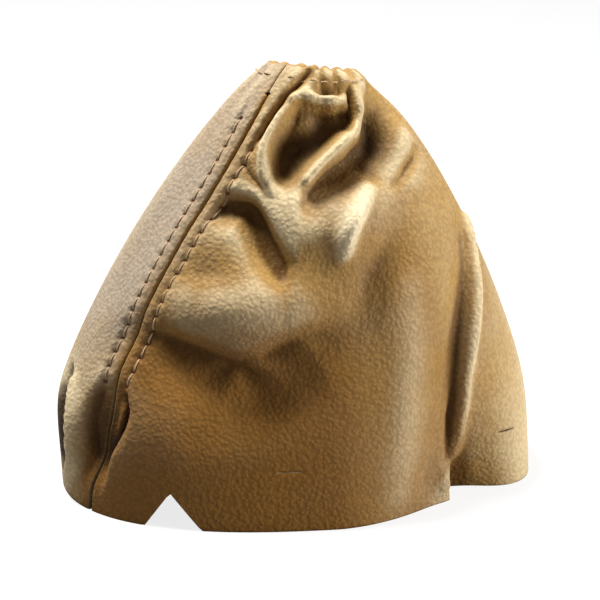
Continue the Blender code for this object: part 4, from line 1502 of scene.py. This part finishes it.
@dataclass
class Collar:
    """The elastic in the hem and the stitch line that holds it."""

    form: CoverForm
    panel: LeatherPanel
    band: float = 3.4 * MM
    stitch: float = 4.0 * MM
    thread: float = 0.60 * MM
    level: float = 0.55
    steps: int = 6
    sides: int = 8
    sunk: float = -0.9
    bow: float = 1.35
    bow_power: float = 0.6
    band_level: float = 0.45
    band_rows: int = 5
    band_columns: int = 240
    band_gap: float = 0.15 * MM

    def _ring(self, height: float, start: float, count: int) -> tuple[np.ndarray, np.ndarray, float]:
        """Evenly spaced places round the collar, their normals and the length round it.

        Args:
            height: Metres above the floor.
            start: Length from the seam of the first.
            count: How many.

        Returns:
            Points, normals and the length.
        """
        whole = float(self.form.outline(height)[1][-1])
        run = np.linspace(start, whole - start, count)
        angle, share = self.form.place(np.full(count, height), run)
        point, normal = self.form.folded(angle, np.full(count, height), share)
        return point, normal, whole

    def build_elastic(self, material: bpy.types.Material) -> None:
        """Builds the elastic band inside the hem.

        Args:
            material: Material of the band.
        """
        rows = []
        for share in np.linspace(-0.5, 0.5, self.band_rows):
            height = self.form.height - self.band_level * self.form.hem_depth + share * self.band
            point, normal, _whole = self._ring(height, self.band_gap, self.band_columns)
            rows.append(np.concatenate([point, point[:1]]) - np.concatenate([normal, normal[:1]])
                        * self.panel.hem_radius)
        piece = grid_piece("elastic", np.array(rows))
        weld = piece.modifiers.new("closed ring", "WELD")
        weld.merge_threshold = 0.01 * MM
        wall = piece.modifiers.new("wall", "SOLIDIFY")
        wall.thickness = self.panel.elastic
        wall.offset = 0.0
        piece.data.materials.append(material)
        piece.data.shade_smooth()
        apply_modifiers(piece)
        settle(piece, ("elastic_band",))

    def build_stitches(self, face: bpy.types.Material, under: bpy.types.Material) -> None:
        """Builds the stitch line of the hem.

        Args:
            face: Material of the needle thread on the face.
            under: Material of the bobbin thread inside.
        """
        height = self.form.height - self.level * self.form.hem_depth
        whole = float(self.form.outline(height)[1][-1])
        stitches = int((whole - 4 * self.panel.seam_edge) / self.stitch)
        count = stitches * self.steps + 1
        point, normal, _whole = self._ring(height, 2 * self.panel.seam_edge, count)
        bow = np.abs(np.sin(np.pi * np.arange(count) / self.steps)) ** self.bow_power
        rise = (self.sunk + self.bow * bow) * MM
        half = 0.5 * self.panel.thickness
        layers = (("needle", half + rise, face, Slot.TOPSTITCH),
                  ("bobbin", -(2 * self.panel.hem_radius + half + rise), under, Slot.UNDER))
        for kind, lift, material, slot in layers:
            route = point + normal * lift[:, None]
            piece = tube(f"hem_{kind}_stitches", route, 0.5 * self.thread, self.sides, material)
            settle(piece, (f"hem_{kind}_thread",))


@dataclass
class Studio:
    """Pale floor, soft light and the camera at the photograph's angle."""

    target: tuple[float, float, float] = (0.0, 0.0, 0.08)
    distance: float = 0.8
    elevation: float = 22.0
    lens: float = 120.0
    sensor: float = 36.0
    offset: tuple[float, float] = (0.0030, -0.00536)
    ambient: float = 0.10
    floor_size: float = 6.0
    floor_bounce: Colour = (0.30, 0.30, 0.30)
    floor_seen: Colour = (0.80, 0.80, 0.80)
    glow: float = 1.15
    glow_share: float = 0.7
    lamp_size: float = 0.30
    lamps: tuple[tuple[str, tuple[float, float, float], float], ...] = (
        ("key_light", (-0.24, 0.06, 0.97), 14.5),
        ("right_light", (0.80, -0.26, 0.24), 7.9),
        ("left_light", (-0.60, 0.22, 0.68), 1.4))

    def build(self) -> None:
        """Sets up the whole studio."""
        self._floor()
        self._world()
        for lamp in self.lamps:
            self._lamp(*lamp)
        self._camera()
        bpy.context.scene.view_settings.view_transform = "Standard"

    def _lamp(self, name: str, place: tuple[float, float, float], power: float) -> None:
        """Adds one soft lamp that points at the cover.

        Args:
            name: Name of the lamp.
            place: Where it stands.
            power: Watts.
        """
        lamp = bpy.data.lights.new(name, "AREA")
        lamp.size = self.lamp_size
        lamp.energy = power
        holder = bpy.data.objects.new(name, lamp)
        bpy.context.scene.collection.objects.link(holder)
        holder.location = place
        holder.rotation_euler = (Vector(self.target) - Vector(place)).to_track_quat("-Z", "Y").to_euler()

    def _floor(self) -> None:
        """Adds the floor, pale to the camera and with the cover's shadow on it."""
        bpy.ops.object.select_all(action="DESELECT")
        bpy.ops.mesh.primitive_plane_add(size=self.floor_size)
        floor = bpy.context.object
        floor.name = floor.data.name = "studio_floor"
        shader = Shader("pale floor")
        seen = shader.node("ShaderNodeLightPath", output="Is Camera Ray")
        tone = shader.mix(seen, self.floor_bounce, self.floor_seen)
        paper = shader.node("ShaderNodeBsdfDiffuse", inputs={"Color": tone})
        glow = shader.node("ShaderNodeEmission", inputs={"Color": WHITE, "Strength": self.glow})
        mixed = shader.node("ShaderNodeMixShader", inputs={0: seen * self.glow_share, 1: paper, 2: glow})
        shader.node_output(mixed)
        floor.data.materials.append(shader.material)

    def _world(self) -> None:
        """Adds soft light from all round, white to the camera and in reflections."""
        world = bpy.data.worlds.new("studio_air")
        bpy.context.scene.world = world
        world.use_nodes = True
        tree = world.node_tree
        path = tree.nodes.new("ShaderNodeLightPath")
        shown = path.outputs["Is Camera Ray"]
        for name in ("Is Glossy Ray", "Is Transmission Ray"):
            most = tree.nodes.new("ShaderNodeMath")
            most.operation = "MAXIMUM"
            tree.links.new(shown, most.inputs[0])
            tree.links.new(path.outputs[name], most.inputs[1])
            shown = most.outputs[0]
        strength = tree.nodes.new("ShaderNodeMapRange")
        strength.inputs["To Min"].default_value = self.ambient
        strength.inputs["To Max"].default_value = 1.0
        tree.links.new(shown, strength.inputs["Value"])
        air = tree.nodes["Background"]
        air.inputs["Color"].default_value = WHITE
        tree.links.new(strength.outputs["Result"], air.inputs["Strength"])

    def _camera(self) -> None:
        """Adds the camera."""
        camera = bpy.data.cameras.new("camera")
        camera.lens = self.lens
        camera.sensor_width = self.sensor
        holder = bpy.data.objects.new("camera", camera)
        bpy.context.scene.collection.objects.link(holder)
        rise = math.radians(self.elevation)
        back = Vector((0.0, -math.cos(rise), math.sin(rise)))
        up = Vector((0.0, math.sin(rise), math.cos(rise)))
        holder.location = (Vector(self.target) + back * self.distance + Vector((self.offset[0], 0.0, 0.0))
                           + up * self.offset[1])
        holder.rotation_euler = (-back).to_track_quat("-Z", "Y").to_euler()
        bpy.context.scene.camera = holder


def main() -> None:
    """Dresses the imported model."""
    logging.basicConfig(level=logging.INFO, format="%(name)s: %(message)s")
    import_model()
    form = CoverForm()
    studio = Studio()
    studio.build()
    panel = LeatherPanel(form)
    panel.build()
    needle = TwistedThread("tan topstitch thread", (0.62, 0.45, 0.28), (0.42, 0.27, 0.15)).build()
    bobbin = TwistedThread("tan bobbin thread", (0.44, 0.34, 0.22), (0.26, 0.19, 0.12)).build()
    SeamStitching(form, panel).build(needle, bobbin)
    collar = Collar(form, panel)
    collar.build_elastic(WovenElastic().build())
    collar.build_stitches(needle, bobbin)


if __name__ == "__main__":
    main()
